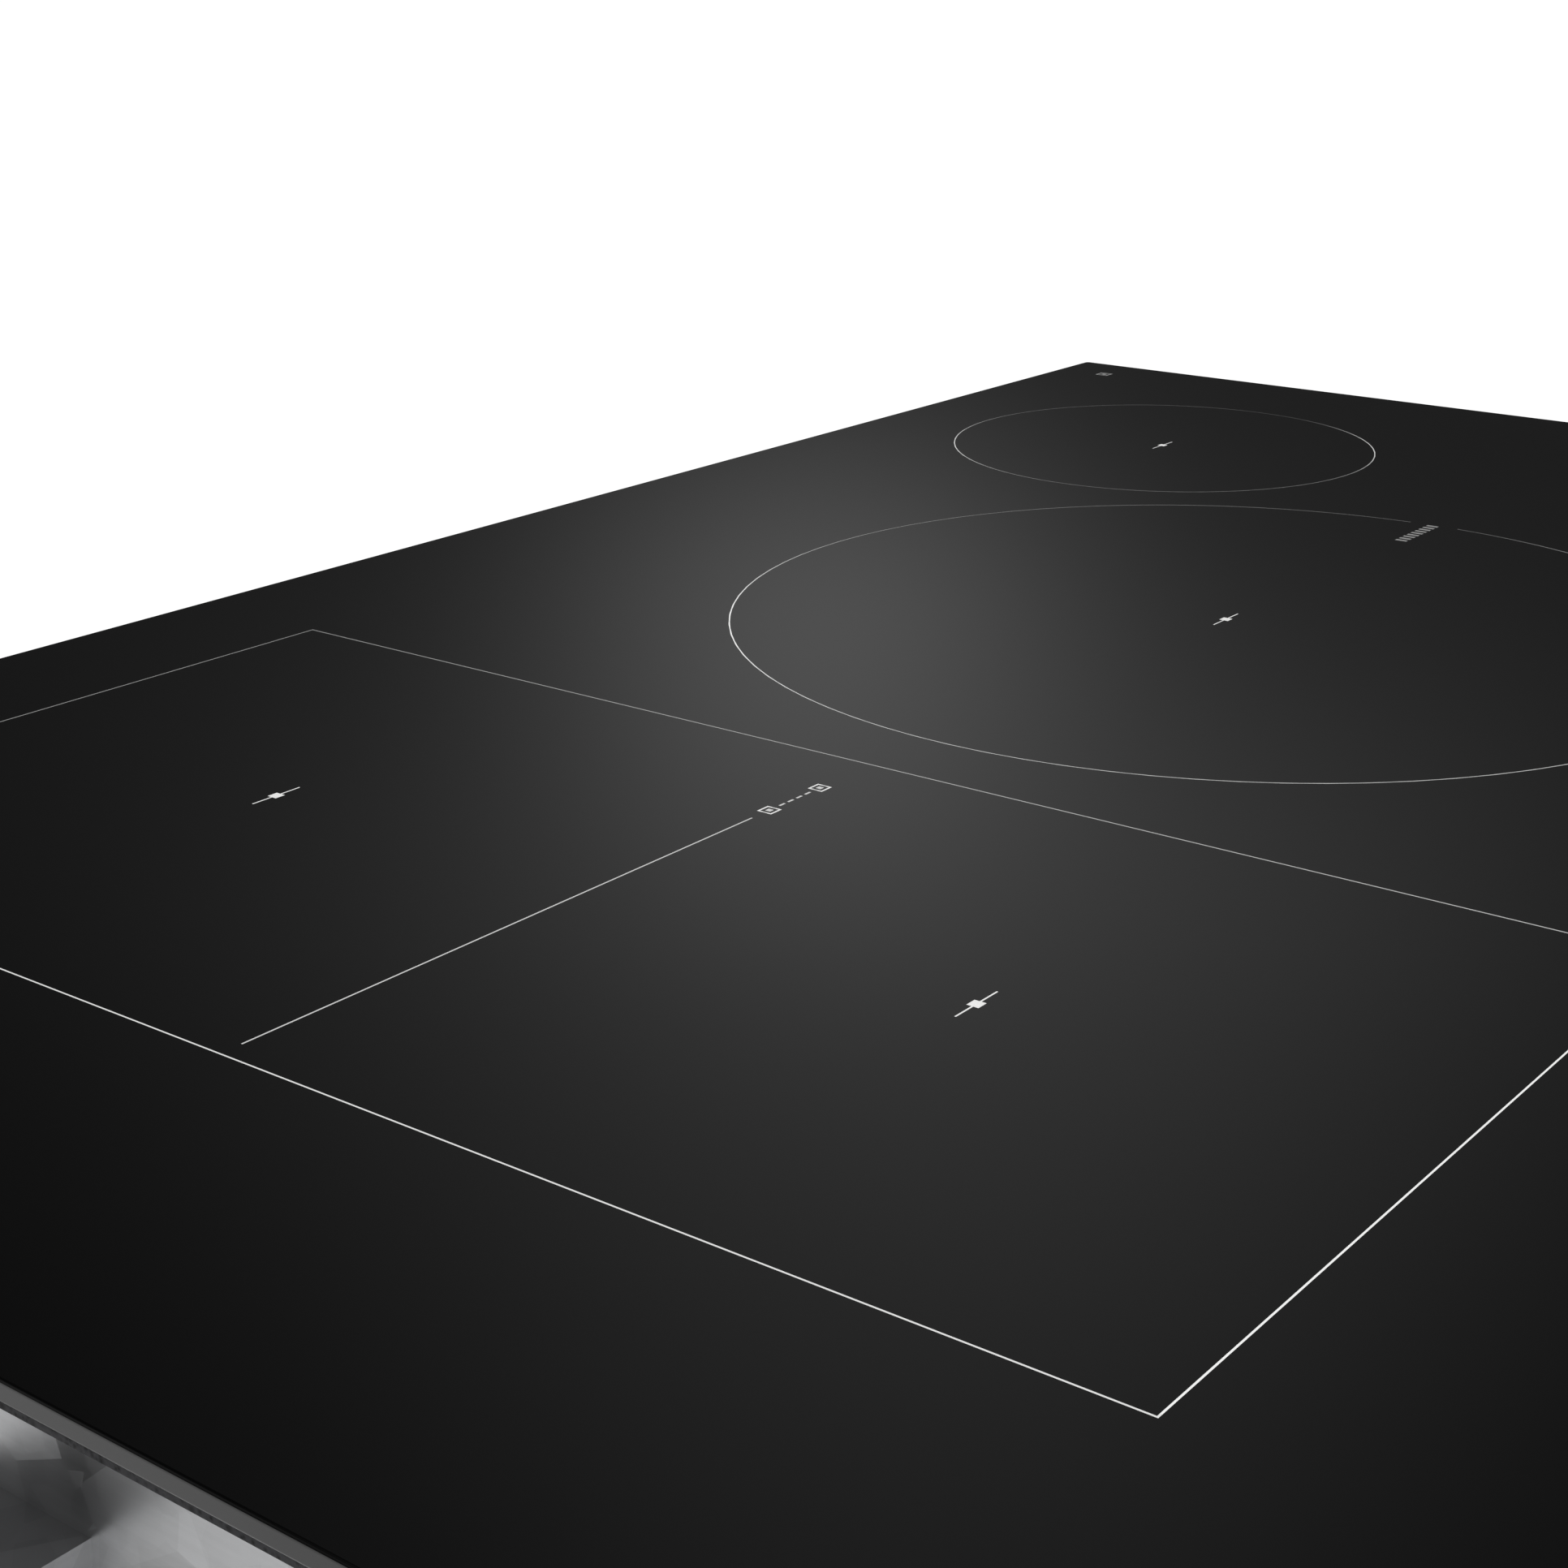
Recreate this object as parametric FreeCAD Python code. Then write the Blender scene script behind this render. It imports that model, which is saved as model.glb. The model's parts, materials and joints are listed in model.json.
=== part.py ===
"""Built-in electric induction cooktop, 30 inch class, as an assembly of separate parts.

Frame: +X to the user's right, +Y to the back, +Z up. The origin is on the bottom face of
the sheet-metal body, under the middle of the glass. All lengths are in millimetres.
"""

import math
import os

import FreeCAD
import Part

V = FreeCAD.Vector
UP = V(0, 0, 1)

# ---------------------------------------------------------------- driving dimensions
GLASS_W = 781.0                 # 30 3/4 in
GLASS_D = 540.0                 # 21 1/4 in
GLASS_T = 4.0
GLASS_CORNER_R = 2.0
GLASS_EDGE_R = 0.7
TOTAL_H = 92.0
GLASS_Z = TOTAL_H - GLASS_T     # underside of the glass

SHEET = 0.8                     # steel sheet of the body
PAN_W = 717.6                   # outside of the four walls
PAN_D = 487.6
PAN_CORNER_R = 8.0
PAN_TOP = 86.0
WALL_Z = 2.4                    # bottom edge of the walls, inside the cover's rim
COVER_GAP = 0.1
COVER_RIM = 9.0
COVER_BEND_R = 2.0
COVER_SCREW_Z = 5.2

FRAME_T = 1.0                   # sheet of the frame that carries the glass
FRAME_GAP = 0.2                 # frame skirt to body wall
FRAME_FLANGE = 14.0
FRAME_SKIRT_Z = 66.0
BOND_T = 0.7                    # silicone between the frame and the glass
GASKET_T = 3.0
GASKET_W = 12.0
GASKET_INSET = 2.0

# cooking zones: centres and sizes of the printed outlines
FLEX_X = -200.3
FLEX_Y = 32.8
FLEX_W = 200.0
FLEX_D = 381.6
LARGE_X = 63.3
LARGE_Y = 27.1
LARGE_D = 279.8                 # 11 in ring
SMALL_X = 259.0
SMALL_Y = 158.4
SMALL_D = 152.4                 # 6 in ring

LINE_W = 0.4                    # printed lines
INK_T = 0.1                     # ink is set flush into the glass

# coil stack, counted down from the glass
AIR_GAP = 0.1
INSULATION_T = 3.0
WINDING_T = 4.5
FORMER_T = 3.0
FERRITE_T = 5.0
PLATE_T = 1.5
INSULATION_TOP = GLASS_Z - AIR_GAP
WINDING_TOP = INSULATION_TOP - INSULATION_T
FORMER_TOP = WINDING_TOP - WINDING_T
FERRITE_TOP = FORMER_TOP - FORMER_T
PLATE_TOP = FERRITE_TOP - FERRITE_T
PLATE_Z = PLATE_TOP - PLATE_T
COIL_TRAVEL = 3.0               # the coils float on springs by this much

TRAY_T = 1.2
TRAY_TOP = 60.0
PIN_R = 2.0
PIN_HEAD_R = 3.6
PIN_HEAD_T = 1.2
SPRING_T = 0.5                  # bow springs around the guide pins
SPRING_W = 9.0
SPRING_HALF = 17.0
SPRING_END_GAP = 0.02

BOARD_T = 1.6
BOARD_Z = 8.0
BASE_T = 2.0

# hold-down clamps on the left and right walls
CLAMP_REACH = 29.0
CLAMP_W = 34.0
CLAMP_T = 2.0
CLAMP_LEG_TOP = 36.0
CLAMP_LEG_BOTTOM = 10.0
CLAMP_BOLT_Z = 21.0
CLAMP_SCREW_OUT = 19.0          # screw axis to body wall
CLAMP_SCREW_R = 2.95
CLAMP_BORE_R = 3.0
CLAMP_Y = 20.0
CLAMP_NUT_T = 5.0
CLAMP_HEAD_Z = 1.5
CLAMP_HEAD_T = 5.0
CLAMP_PAD_Z = CLAMP_LEG_TOP + 1.0
CLAMP_PAD_T = 5.0


# ---------------------------------------------------------------- shape helpers
def box(x0, x1, y0, y1, z0, z1):
    return Part.makeBox(x1 - x0, y1 - y0, z1 - z0, V(x0, y0, z0))


def block(x, y, w, d, z0, z1):
    """Box centred on x, y."""
    return box(x - w / 2, x + w / 2, y - d / 2, y + d / 2, z0, z1)


def cylinder(x, y, r, z0, z1):
    return Part.makeCylinder(r, z1 - z0, V(x, y, z0), UP)


def tube(x, y, r_out, r_in, z0, z1):
    return cylinder(x, y, r_out, z0, z1).cut(cylinder(x, y, r_in, z0, z1))


def rounded_wire(x, y, w, d, r, z):
    """Rectangle with round corners, as a closed wire."""
    hx, hy, k = w / 2 - r, d / 2 - r, r * math.sqrt(0.5)
    edges = []
    for sx, sy, tx, ty in ((1, -1, 1, 1), (1, 1, -1, 1), (-1, 1, -1, -1), (-1, -1, 1, -1)):
        centre = V(x + sx * hx, y + sy * hy, z)
        middle = centre + V(sx * k, sy * k, 0)
        if sx * sy < 0:
            start, end = centre + V(0, sy * r, 0), centre + V(sx * r, 0, 0)
            step = V(0, ty * 2 * hy, 0)
        else:
            start, end = centre + V(sx * r, 0, 0), centre + V(0, sy * r, 0)
            step = V(tx * 2 * hx, 0, 0)
        edges.append(Part.Arc(start, middle, end).toShape())
        edges.append(Part.LineSegment(end, end + step).toShape())
    return Part.Wire(edges)


def slab(x, y, w, d, r, z0, z1):
    """Rounded rectangular plate."""
    return Part.Face(rounded_wire(x, y, w, d, r, z0)).extrude(V(0, 0, z1 - z0))


def slab_ring(x, y, w, d, r, band, z0, z1, lip=0.0):
    """Rounded rectangular ring, band wide. lip stretches the hole past both faces."""
    inner = slab(x, y, w - 2 * band, d - 2 * band, max(r - band, 0.2), z0 - lip, z1 + lip)
    return slab(x, y, w, d, r, z0, z1).cut(inner)


def prism(points, z0, z1):
    """Extruded polygon."""
    ring = [V(x, y, z0) for x, y in points]
    return Part.Face(Part.makePolygon(ring + ring[:1])).extrude(V(0, 0, z1 - z0))


def fuse(shapes):
    shapes = list(shapes)
    if len(shapes) == 1:
        return shapes[0]
    return shapes[0].multiFuse(shapes[1:]).removeSplitter()


def group(shapes):
    """Separate solids that share one node."""
    return Part.makeCompound(list(shapes))


def turned(shape, degrees, x, y):
    copy = shape.copy()
    copy.rotate(V(x, y, 0), UP, degrees)
    return copy


def moved(shape, x, y, z=0.0):
    copy = shape.copy()
    copy.translate(V(x, y, z))
    return copy


def mirrored(shape):
    """Copy on the other side of the YZ plane."""
    return shape.mirror(V(0, 0, 0), V(1, 0, 0))


def polar(x, y, r, degrees):
    a = math.radians(degrees)
    return x + r * math.cos(a), y + r * math.sin(a)


# ---------------------------------------------------------------- printed decoration
INK_Z = TOTAL_H - INK_T
ICON_LINE = 0.5                 # strokes of the small symbols


def ink_bar(x, y, w, d):
    return block(x, y, w, d, INK_Z, TOTAL_H)


def ink_ring(x, y, r, line=LINE_W):
    return tube(x, y, r + line / 2, r - line / 2, INK_Z, TOTAL_H)


def ink_frame(x, y, w, d, line=LINE_W):
    outer = ink_bar(x, y, w + line, d + line)
    return outer.cut(ink_bar(x, y, w - line, d - line))


def centre_mark(x, y):
    """Short dash with a small square in its middle, where a pan is centred."""
    return fuse([ink_bar(x, y, 14.3, LINE_W), ink_bar(x, y, 2.8, 2.7)])


def link_symbol(x, y):
    """Two small pans joined by a dashed line: the two halves work as one."""
    size, length = 4.0, 23.0
    ends = [ink_frame(x + s * (length - size) / 2, y, size - 0.5, size - 0.5, 0.5) for s in (-1, 1)]
    cores = [ink_bar(x + s * (length - size) / 2, y, 1.4, 1.4) for s in (-1, 1)]
    dashes = [ink_bar(x + 3.2 * k, y, 2.0, 0.6) for k in (-1.5, -0.5, 0.5, 1.5)]
    return ends + cores + dashes


def level_symbol(x_end, y):
    """Row of upright bars, ending at x_end: the strongest zone."""
    pitch, count, height = 2.9, 9, 3.8
    return [ink_bar(x_end - pitch * k, y, 1.5, height) for k in range(count)]


def flex_zone_print():
    left = FLEX_X - FLEX_W / 2
    divider_start, divider_end = left + 5.1, left + 154.2
    half = FLEX_D / 4
    parts = [ink_frame(FLEX_X, FLEX_Y, FLEX_W, FLEX_D)]
    parts.append(ink_bar((divider_start + divider_end) / 2, FLEX_Y,
                         divider_end - divider_start, LINE_W))
    parts += [centre_mark(FLEX_X, FLEX_Y + s * half) for s in (-1, 1)]
    return parts + link_symbol(left + 170.0, FLEX_Y)


def large_zone_print():
    gap = 3.3                   # half of the gap in the ring, in degrees
    r = LARGE_D / 2
    edge = [polar(LARGE_X, LARGE_Y, r + 10, s * gap) for s in (-1, 1)]
    wedge = prism([(LARGE_X, LARGE_Y)] + edge, INK_Z, TOTAL_H)
    ring = ink_ring(LARGE_X, LARGE_Y, r).cut(wedge)
    return [ring, centre_mark(LARGE_X, LARGE_Y)] + level_symbol(LARGE_X + r - 1.5, LARGE_Y)


def small_zone_print():
    return [ink_ring(SMALL_X, SMALL_Y, SMALL_D / 2), centre_mark(SMALL_X, SMALL_Y)]


CONTROL_Y = -208.0
SLIDER_PITCH = 92.0
SLIDER_X = -110.0               # first of the four sliders


def digit(x, y, number):
    """Seven-bar digit, 4.5 high."""
    w, h, t = 2.6, 4.5, 0.5
    bars = {
        "a": (0, h / 2, w, t), "g": (0, 0, w, t), "d": (0, -h / 2, w, t),
        "b": (w / 2, h / 4, t, h / 2 + t), "c": (w / 2, -h / 4, t, h / 2 + t),
        "f": (-w / 2, h / 4, t, h / 2 + t), "e": (-w / 2, -h / 4, t, h / 2 + t),
    }
    used = {0: "abcdef", 5: "afgcd", 9: "abcdfg"}[number]
    return fuse(ink_bar(x + bars[k][0], y + bars[k][1], bars[k][2], bars[k][3]) for k in used)


def power_key(x, y):
    notch = ink_bar(x, y + 4, 2.6, 6)
    return [ink_ring(x, y, 3.6, 0.6).cut(notch), ink_bar(x, y + 2.9, 0.6, 3.8),
            ink_ring(x, y, 8.0)]


def lock_key(x, y):
    shackle = tube(x, y + 0.8, 2.0, 1.4, INK_Z, TOTAL_H).cut(ink_bar(x, y - 1.6, 6, 4.8))
    return [fuse([shackle, ink_bar(x, y - 1.4, 5.4, 4.4)]), ink_ring(x, y, 8.0)]


def timer_key(x, y):
    hands = fuse([ink_bar(x, y + 1.2, 0.5, 2.9), ink_bar(x + 0.9, y, 2.3, 0.5)])
    return [ink_ring(x, y, 3.8, 0.6), hands, ink_ring(x, y, 8.0)]


def pause_key(x, y):
    return [ink_bar(x + s * 1.3, y, 1.0, 5.2) for s in (-1, 1)] + [ink_ring(x, y, 8.0)]


def sign_key(x, y, plus):
    bars = [ink_bar(x, y, 4.6, 0.6)]
    if plus:
        bars.append(ink_bar(x, y, 0.6, 4.6))
    return [fuse(bars), ink_ring(x, y, 5.4)]


def zone_locator(x, y, index):
    """Four small squares in the layout of the zones, the controlled one filled."""
    corners = ((-1, 1), (-1, -1), (1, 0), (2.6, 1))
    parts = []
    for k, (u, v) in enumerate(corners):
        cx, cy = x + 1.9 * u, y + 1.9 * v
        parts.append(ink_bar(cx, cy, 2.6, 2.6) if k == index else ink_frame(cx, cy, 2.2, 2.2, 0.35))
    return parts


def slider(x, y, index):
    """Touch slider: a rail of nine rising bars between two end digits."""
    parts = [digit(x - 33, y, 0), digit(x + 33, y, 9)]
    for k in range(9):
        height = 1.6 + 0.55 * k
        parts.append(ink_bar(x + 6.4 * (k - 4), y - 3 + height / 2, 3.6, height))
    parts.append(ink_bar(x, y - 6.0, 70, ICON_LINE))
    return parts + zone_locator(x, y + 11, index)


def control_panel_print():
    parts = power_key(-232, CONTROL_Y) + lock_key(-204, CONTROL_Y)
    for k in range(4):
        parts += slider(SLIDER_X + SLIDER_PITCH * k, CONTROL_Y, k)
    parts += pause_key(222, CONTROL_Y)
    parts += sign_key(244, CONTROL_Y, False) + timer_key(264, CONTROL_Y)
    return parts + sign_key(284, CONTROL_Y, True)


def corner_mark():
    """Small square badge near the back right corner."""
    x, y = GLASS_W / 2 - 21.2, GLASS_D / 2 - 21.2
    return [ink_frame(x, y, 4.6, 4.6, 0.6), ink_bar(x, y, 2.0, 2.0)]


def build_glass():
    prints = {
        "flex_zone_print": flex_zone_print(),
        "large_zone_print": large_zone_print(),
        "small_zone_print": small_zone_print() + corner_mark(),
        "control_panel_print": control_panel_print(),
    }
    glass = slab(0, 0, GLASS_W, GLASS_D, GLASS_CORNER_R, GLASS_Z, TOTAL_H)
    rims = [e for e in glass.Edges if abs(e.BoundBox.ZMax - e.BoundBox.ZMin) < 0.01]
    glass = glass.makeFillet(GLASS_EDGE_R, rims)
    glass = glass.cut([shape for parts in prints.values() for shape in parts])
    nodes = {name: group(parts) for name, parts in prints.items()}
    nodes["glass_ceramic_top"] = glass
    return nodes


# ---------------------------------------------------------------- glass frame and seals
FRAME_OUT_W = PAN_W + 2 * (FRAME_GAP + FRAME_T)
FRAME_OUT_D = PAN_D + 2 * (FRAME_GAP + FRAME_T)
FRAME_TOP = GLASS_Z - BOND_T
FRAME_R = PAN_CORNER_R + FRAME_GAP + FRAME_T
SCREW_R = 1.7
SCREW_HOLE_R = 1.8
SCREW_HEAD_R = 3.6
SCREW_HEAD_T = 2.1
SIDE_SCREW_Z = 73.0
SIDE_SCREWS_X = (-300.0, -100.0, 100.0, 300.0)
SIDE_SCREWS_Y = (-180.0, 180.0)
COVER_OUT_W = PAN_W + 2 * (COVER_GAP + SHEET)
COVER_OUT_D = PAN_D + 2 * (COVER_GAP + SHEET)
COVER_SCREWS_X = (-240.0, 240.0)
COVER_SCREWS_Y = (-120.0, 120.0)


def cross_recess(depth):
    """Cross-head socket, opening upwards at z = 0."""
    return fuse([block(0, 0, 3.4, 0.9, -depth, 0.1), block(0, 0, 0.9, 3.4, -depth, 0.1)])


def pan_head_screw(length):
    """Cross-head screw along -Z; the head's underside is at z = 0."""
    head = cylinder(0, 0, SCREW_HEAD_R, 0, SCREW_HEAD_T)
    rim = [e for e in head.Edges if abs(e.BoundBox.ZMin - SCREW_HEAD_T) < 0.01]
    head = head.makeFillet(0.8, rim)
    head = head.cut(moved(cross_recess(1.2), 0, 0, SCREW_HEAD_T))
    shank = cylinder(0, 0, SCREW_R, -length + 1.5, 0)
    tip = Part.makeCone(0.5, SCREW_R, 1.5, V(0, 0, -length), UP)
    return fuse([head, shank, tip])


def placed(shape, x, y, z, direction):
    """Copy whose +Z points along direction."""
    copy = shape.copy()
    copy.Placement = FreeCAD.Placement(V(x, y, z), FreeCAD.Rotation(UP, direction))
    return copy


def frame_screw_places():
    """Where the frame is screwed to the walls: point on the skirt's face, outward normal."""
    places = []
    for s in (-1, 1):
        places += [(V(x, s * FRAME_OUT_D / 2, SIDE_SCREW_Z), V(0, s, 0)) for x in SIDE_SCREWS_X]
        places += [(V(s * FRAME_OUT_W / 2, y, SIDE_SCREW_Z), V(s, 0, 0)) for y in SIDE_SCREWS_Y]
    return places


def cover_screw_places():
    """Where the cover's rim is screwed to the walls."""
    places = []
    for s in (-1, 1):
        places += [(V(x, s * COVER_OUT_D / 2, COVER_SCREW_Z), V(0, s, 0)) for x in COVER_SCREWS_X]
        places += [(V(s * COVER_OUT_W / 2, y, COVER_SCREW_Z), V(s, 0, 0)) for y in COVER_SCREWS_Y]
    return places


def screw_holes(places, r):
    return [Part.makeCylinder(r, 12, point - n * 6, n) for point, n in places]


def build_frame():
    flange = slab_ring(0, 0, FRAME_OUT_W, FRAME_OUT_D, FRAME_R, FRAME_FLANGE,
                       FRAME_TOP - FRAME_T, FRAME_TOP)
    skirt = slab_ring(0, 0, FRAME_OUT_W, FRAME_OUT_D, FRAME_R, FRAME_T,
                      FRAME_SKIRT_Z, FRAME_TOP)
    frame = fuse([flange, skirt]).cut(screw_holes(frame_screw_places(), SCREW_HOLE_R + 0.3))
    bond = slab_ring(0, 0, FRAME_OUT_W - 2, FRAME_OUT_D - 2, FRAME_R - 1, FRAME_FLANGE - 3,
                     FRAME_TOP, GLASS_Z)
    gasket = slab_ring(0, 0, GLASS_W - 2 * GASKET_INSET, GLASS_D - 2 * GASKET_INSET, 12.0,
                       GASKET_W, GLASS_Z - GASKET_T, GLASS_Z)
    return {"top_frame": frame, "silicone_bond": bond, "perimeter_gasket": gasket}


# ---------------------------------------------------------------- sheet-metal body
FAN_X = 195.0
FAN_Y = 165.0
FAN_SIZE = 120.0
FAN_INLET_R = 40.0
GLAND_Z = 29.0
GLAND_HOLE_R = 14.1             # 3/4 in trade knock-out
INNER_Y = PAN_D / 2 - SHEET
INNER_X = PAN_W / 2 - SHEET


def slot(x, y, w, d, z0, z1):
    """Round-ended slot along its longer side."""
    return slab(x, y, w, d, min(w, d) / 2 - 0.01, z0, z1)


def intake_slots(x, y):
    """Slots under a blower, clipped to a circle."""
    slots = []
    pitch, width = 8.0, 4.0
    for k in range(-5, 6):
        half = math.sqrt(max((FAN_INLET_R + 4) ** 2 - (k * pitch) ** 2, 0))
        for s in (-1, 1):
            length = half - 4
            if length > 8:
                slots.append(slot(x + k * pitch, y + s * (2 + length / 2), width, length, -1, 2))
    return slots


def outlet_slots(x):
    """Upright exhaust slots in the front wall."""
    slots = []
    for k in range(-9, 10):
        shape = slot(0, 0, 3.6, 34.0, -3, 3)
        shape.rotate(V(0, 0, 0), V(1, 0, 0), 90)
        slots.append(moved(shape, x + 9 * k, -PAN_D / 2, 36))
    return slots


def floor_ribs():
    """Stiffening beads pressed up into the floor."""
    ribs = []
    for x in (-270, -120, 120, 270):
        ribs.append((x, -130, 8, 150))
    ribs.append((0, -60, 8, 200))
    return ribs


def build_walls():
    """The four walls, folded from one strip."""
    walls = slab_ring(0, 0, PAN_W, PAN_D, PAN_CORNER_R, SHEET, WALL_Z, PAN_TOP, 1.0)
    holes = screw_holes(frame_screw_places(), SCREW_HOLE_R) + clamp_bolt_holes()
    holes += screw_holes(cover_screw_places(), SCREW_HOLE_R)
    for s in (-1, 1):
        holes += outlet_slots(s * FAN_X)
    holes.append(Part.makeCylinder(GLAND_HOLE_R, 12, V(0, INNER_Y - 6, GLAND_Z), V(0, 1, 0)))
    return walls.cut(holes)


def build_cover():
    """Bottom cover: a shallow tray around the walls, with beads and the blowers' intakes."""
    r = PAN_CORNER_R + COVER_GAP + SHEET
    outer = slab(0, 0, COVER_OUT_W, COVER_OUT_D, r, 0, COVER_RIM)
    low = [e for e in outer.Edges if e.BoundBox.ZMax < 0.01]
    outer = outer.makeFillet(COVER_BEND_R, low)
    inner = slab(0, 0, COVER_OUT_W - 2 * SHEET, COVER_OUT_D - 2 * SHEET, r - SHEET,
                 SHEET, COVER_RIM + 5)
    low = [e for e in inner.Edges if e.BoundBox.ZMax < SHEET + 0.01]
    inner = inner.makeFillet(COVER_BEND_R - SHEET, low)
    cover = outer.cut(inner)
    raised = [slab(x, y, w, d, w / 2 - 0.01, 0.3, 2.0) for x, y, w, d in floor_ribs()]
    grooves = [slab(x, y, w - 1.6, d - 1.6, w / 2 - 0.81, -1, 1.2) for x, y, w, d in floor_ribs()]
    holes = grooves + screw_holes(cover_screw_places(), SCREW_HOLE_R + 0.3)
    for s in (-1, 1):
        holes += intake_slots(s * FAN_X, FAN_Y)
    return cover.fuse(raised).cut(holes)


def build_body():
    plate = box(-40, 40, -PAN_D / 2 - 0.4, -PAN_D / 2, 18, 52)
    return {"body_walls": build_walls(), "bottom_cover": build_cover(), "rating_plate": plate}


# ---------------------------------------------------------------- hold-down clamps
WALL_X = PAN_W / 2
CLAMP_X = WALL_X + CLAMP_SCREW_OUT


def clamp_bolt_holes():
    return [Part.makeCylinder(SCREW_HOLE_R, 12,
                              V(s * (WALL_X - 6), CLAMP_Y + t * 10, CLAMP_BOLT_Z), V(s, 0, 0))
            for s in (-1, 1) for t in (-1, 1)]


def hexagon(x, y, across_flats, z0, z1):
    r = across_flats / math.sqrt(3)
    return prism([polar(x, y, r, 60 * k + 30) for k in range(6)], z0, z1)


def clamp_bracket():
    """Right-hand bracket: leg on the wall, shelf, two gussets and a welded nut."""
    y0, y1 = CLAMP_Y - CLAMP_W / 2, CLAMP_Y + CLAMP_W / 2
    shelf_z = CLAMP_LEG_TOP - CLAMP_T
    leg = box(WALL_X, WALL_X + CLAMP_T, y0, y1, CLAMP_LEG_BOTTOM, CLAMP_LEG_TOP)
    shelf = box(WALL_X, WALL_X + CLAMP_REACH, y0, y1, shelf_z, CLAMP_LEG_TOP)
    corner = Part.makePolygon([V(0, 0, 0), V(10, 0, 0), V(0, 0, -10), V(0, 0, 0)])
    gusset = Part.Face(corner).extrude(V(0, CLAMP_T, 0))
    gussets = [moved(gusset, WALL_X + CLAMP_T, y, shelf_z) for y in (y0, y1 - CLAMP_T)]
    nut = hexagon(CLAMP_X, CLAMP_Y, 10.0, shelf_z - CLAMP_NUT_T, shelf_z)
    bore = cylinder(CLAMP_X, CLAMP_Y, CLAMP_BORE_R, 0, CLAMP_LEG_TOP + 1)
    holes = [Part.makeCylinder(SCREW_HOLE_R, 8, V(WALL_X - 2, CLAMP_Y + t * 10, CLAMP_BOLT_Z),
                               V(1, 0, 0)) for t in (-1, 1)]
    return fuse([leg, shelf, nut] + gussets).cut([bore] + holes)


def build_clamps():
    """Each clamp: bracket, screw from below, and the pad that its tip pushes up."""
    bracket = clamp_bracket()
    head_top = CLAMP_HEAD_Z + CLAMP_HEAD_T
    recess = moved(cross_recess(1.5).mirror(V(0, 0, 0), UP), CLAMP_X, CLAMP_Y, CLAMP_HEAD_Z)
    head = hexagon(CLAMP_X, CLAMP_Y, 9.0, CLAMP_HEAD_Z, head_top).cut(recess)
    tip = CLAMP_PAD_Z + CLAMP_PAD_T / 2
    rod = fuse([head, cylinder(CLAMP_X, CLAMP_Y, CLAMP_SCREW_R, head_top, tip)])
    pad_top = CLAMP_PAD_Z + CLAMP_PAD_T
    pad = cylinder(CLAMP_X, CLAMP_Y, 8.0, CLAMP_PAD_Z, pad_top)
    rim = [e for e in pad.Edges if abs(e.BoundBox.ZMin - pad_top) < 0.01]
    pad = pad.makeFillet(1.0, rim)
    pad = pad.cut(cylinder(CLAMP_X, CLAMP_Y, CLAMP_BORE_R, CLAMP_PAD_Z - 1, tip + 0.05))
    return {
        "clamp_brackets": group([bracket, mirrored(bracket)]),
        "clamp_screw_right": rod, "clamp_screw_left": mirrored(rod),
        "clamp_pad_right": pad, "clamp_pad_left": mirrored(pad),
    }


# ---------------------------------------------------------------- supply entry
GLAND_THROAT_R = 8.0
GLAND_SOCKET_R = 10.0           # takes the end of the conduit
GLAND_SOCKET_Z = 4.0            # its shoulder, outside the wall
TERMINAL_Y = 205.0
TERMINAL_PITCH = 16.0
TERMINAL_FLOOR = 11.0


def terminal_xs():
    return [TERMINAL_PITCH * (k - 1.5) for k in range(4)]


def build_entry():
    """Conduit connector in the back wall, its locknut and the terminal block."""
    wall = PAN_D / 2

    def along_y(shape):
        return placed(shape, 0, wall, GLAND_Z, V(0, 1, 0))

    thread = cylinder(0, 0, 13.9, -11, 0)
    collar = hexagon(0, 0, 33.0, 0, 7)
    sleeve = cylinder(0, 0, 13.5, 7, 22)
    ribs = [cylinder(0, 0, 14.4, z, z + 1.5) for z in (10, 14, 18)]
    throat = cylinder(0, 0, GLAND_THROAT_R, -14, 24)
    socket = cylinder(0, 0, GLAND_SOCKET_R, GLAND_SOCKET_Z, 24)
    gland = fuse([thread, collar, sleeve] + ribs).cut([throat, socket])
    nut = hexagon(0, 0, 34.0, -SHEET - 4, -SHEET).cut(cylinder(0, 0, 14.0, -10, 1))
    body = block(0, TERMINAL_Y, 70, 24, SHEET, 22)
    wells = [block(x, TERMINAL_Y, 12, 18, TERMINAL_FLOOR, 23) for x in terminal_xs()]
    pilots = [cylinder(x, TERMINAL_Y, SCREW_HOLE_R, 2, 12) for x in terminal_xs()]
    ports = [Part.makeCylinder(2.1, 6, V(x, TERMINAL_Y - 13, 16), V(0, 1, 0))
             for x in terminal_xs()]
    body = body.cut(wells + pilots + ports)
    return {"conduit_gland": along_y(gland), "gland_locknut": along_y(nut),
            "terminal_block": body}


def all_screws():
    """One screw size joins frame, walls, cover and brackets, and grips the conductors."""
    screw = pan_head_screw(8.0)
    screws = [placed(screw, p.x, p.y, p.z, n)
              for p, n in frame_screw_places() + cover_screw_places()]
    bolts = [placed(screw, WALL_X + CLAMP_T, CLAMP_Y + t * 10, CLAMP_BOLT_Z, V(1, 0, 0))
             for t in (-1, 1)]
    screws += bolts + [mirrored(b) for b in bolts]
    screws += [moved(screw, x, TERMINAL_Y, TERMINAL_FLOOR) for x in terminal_xs()]
    return group(screws)


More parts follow.
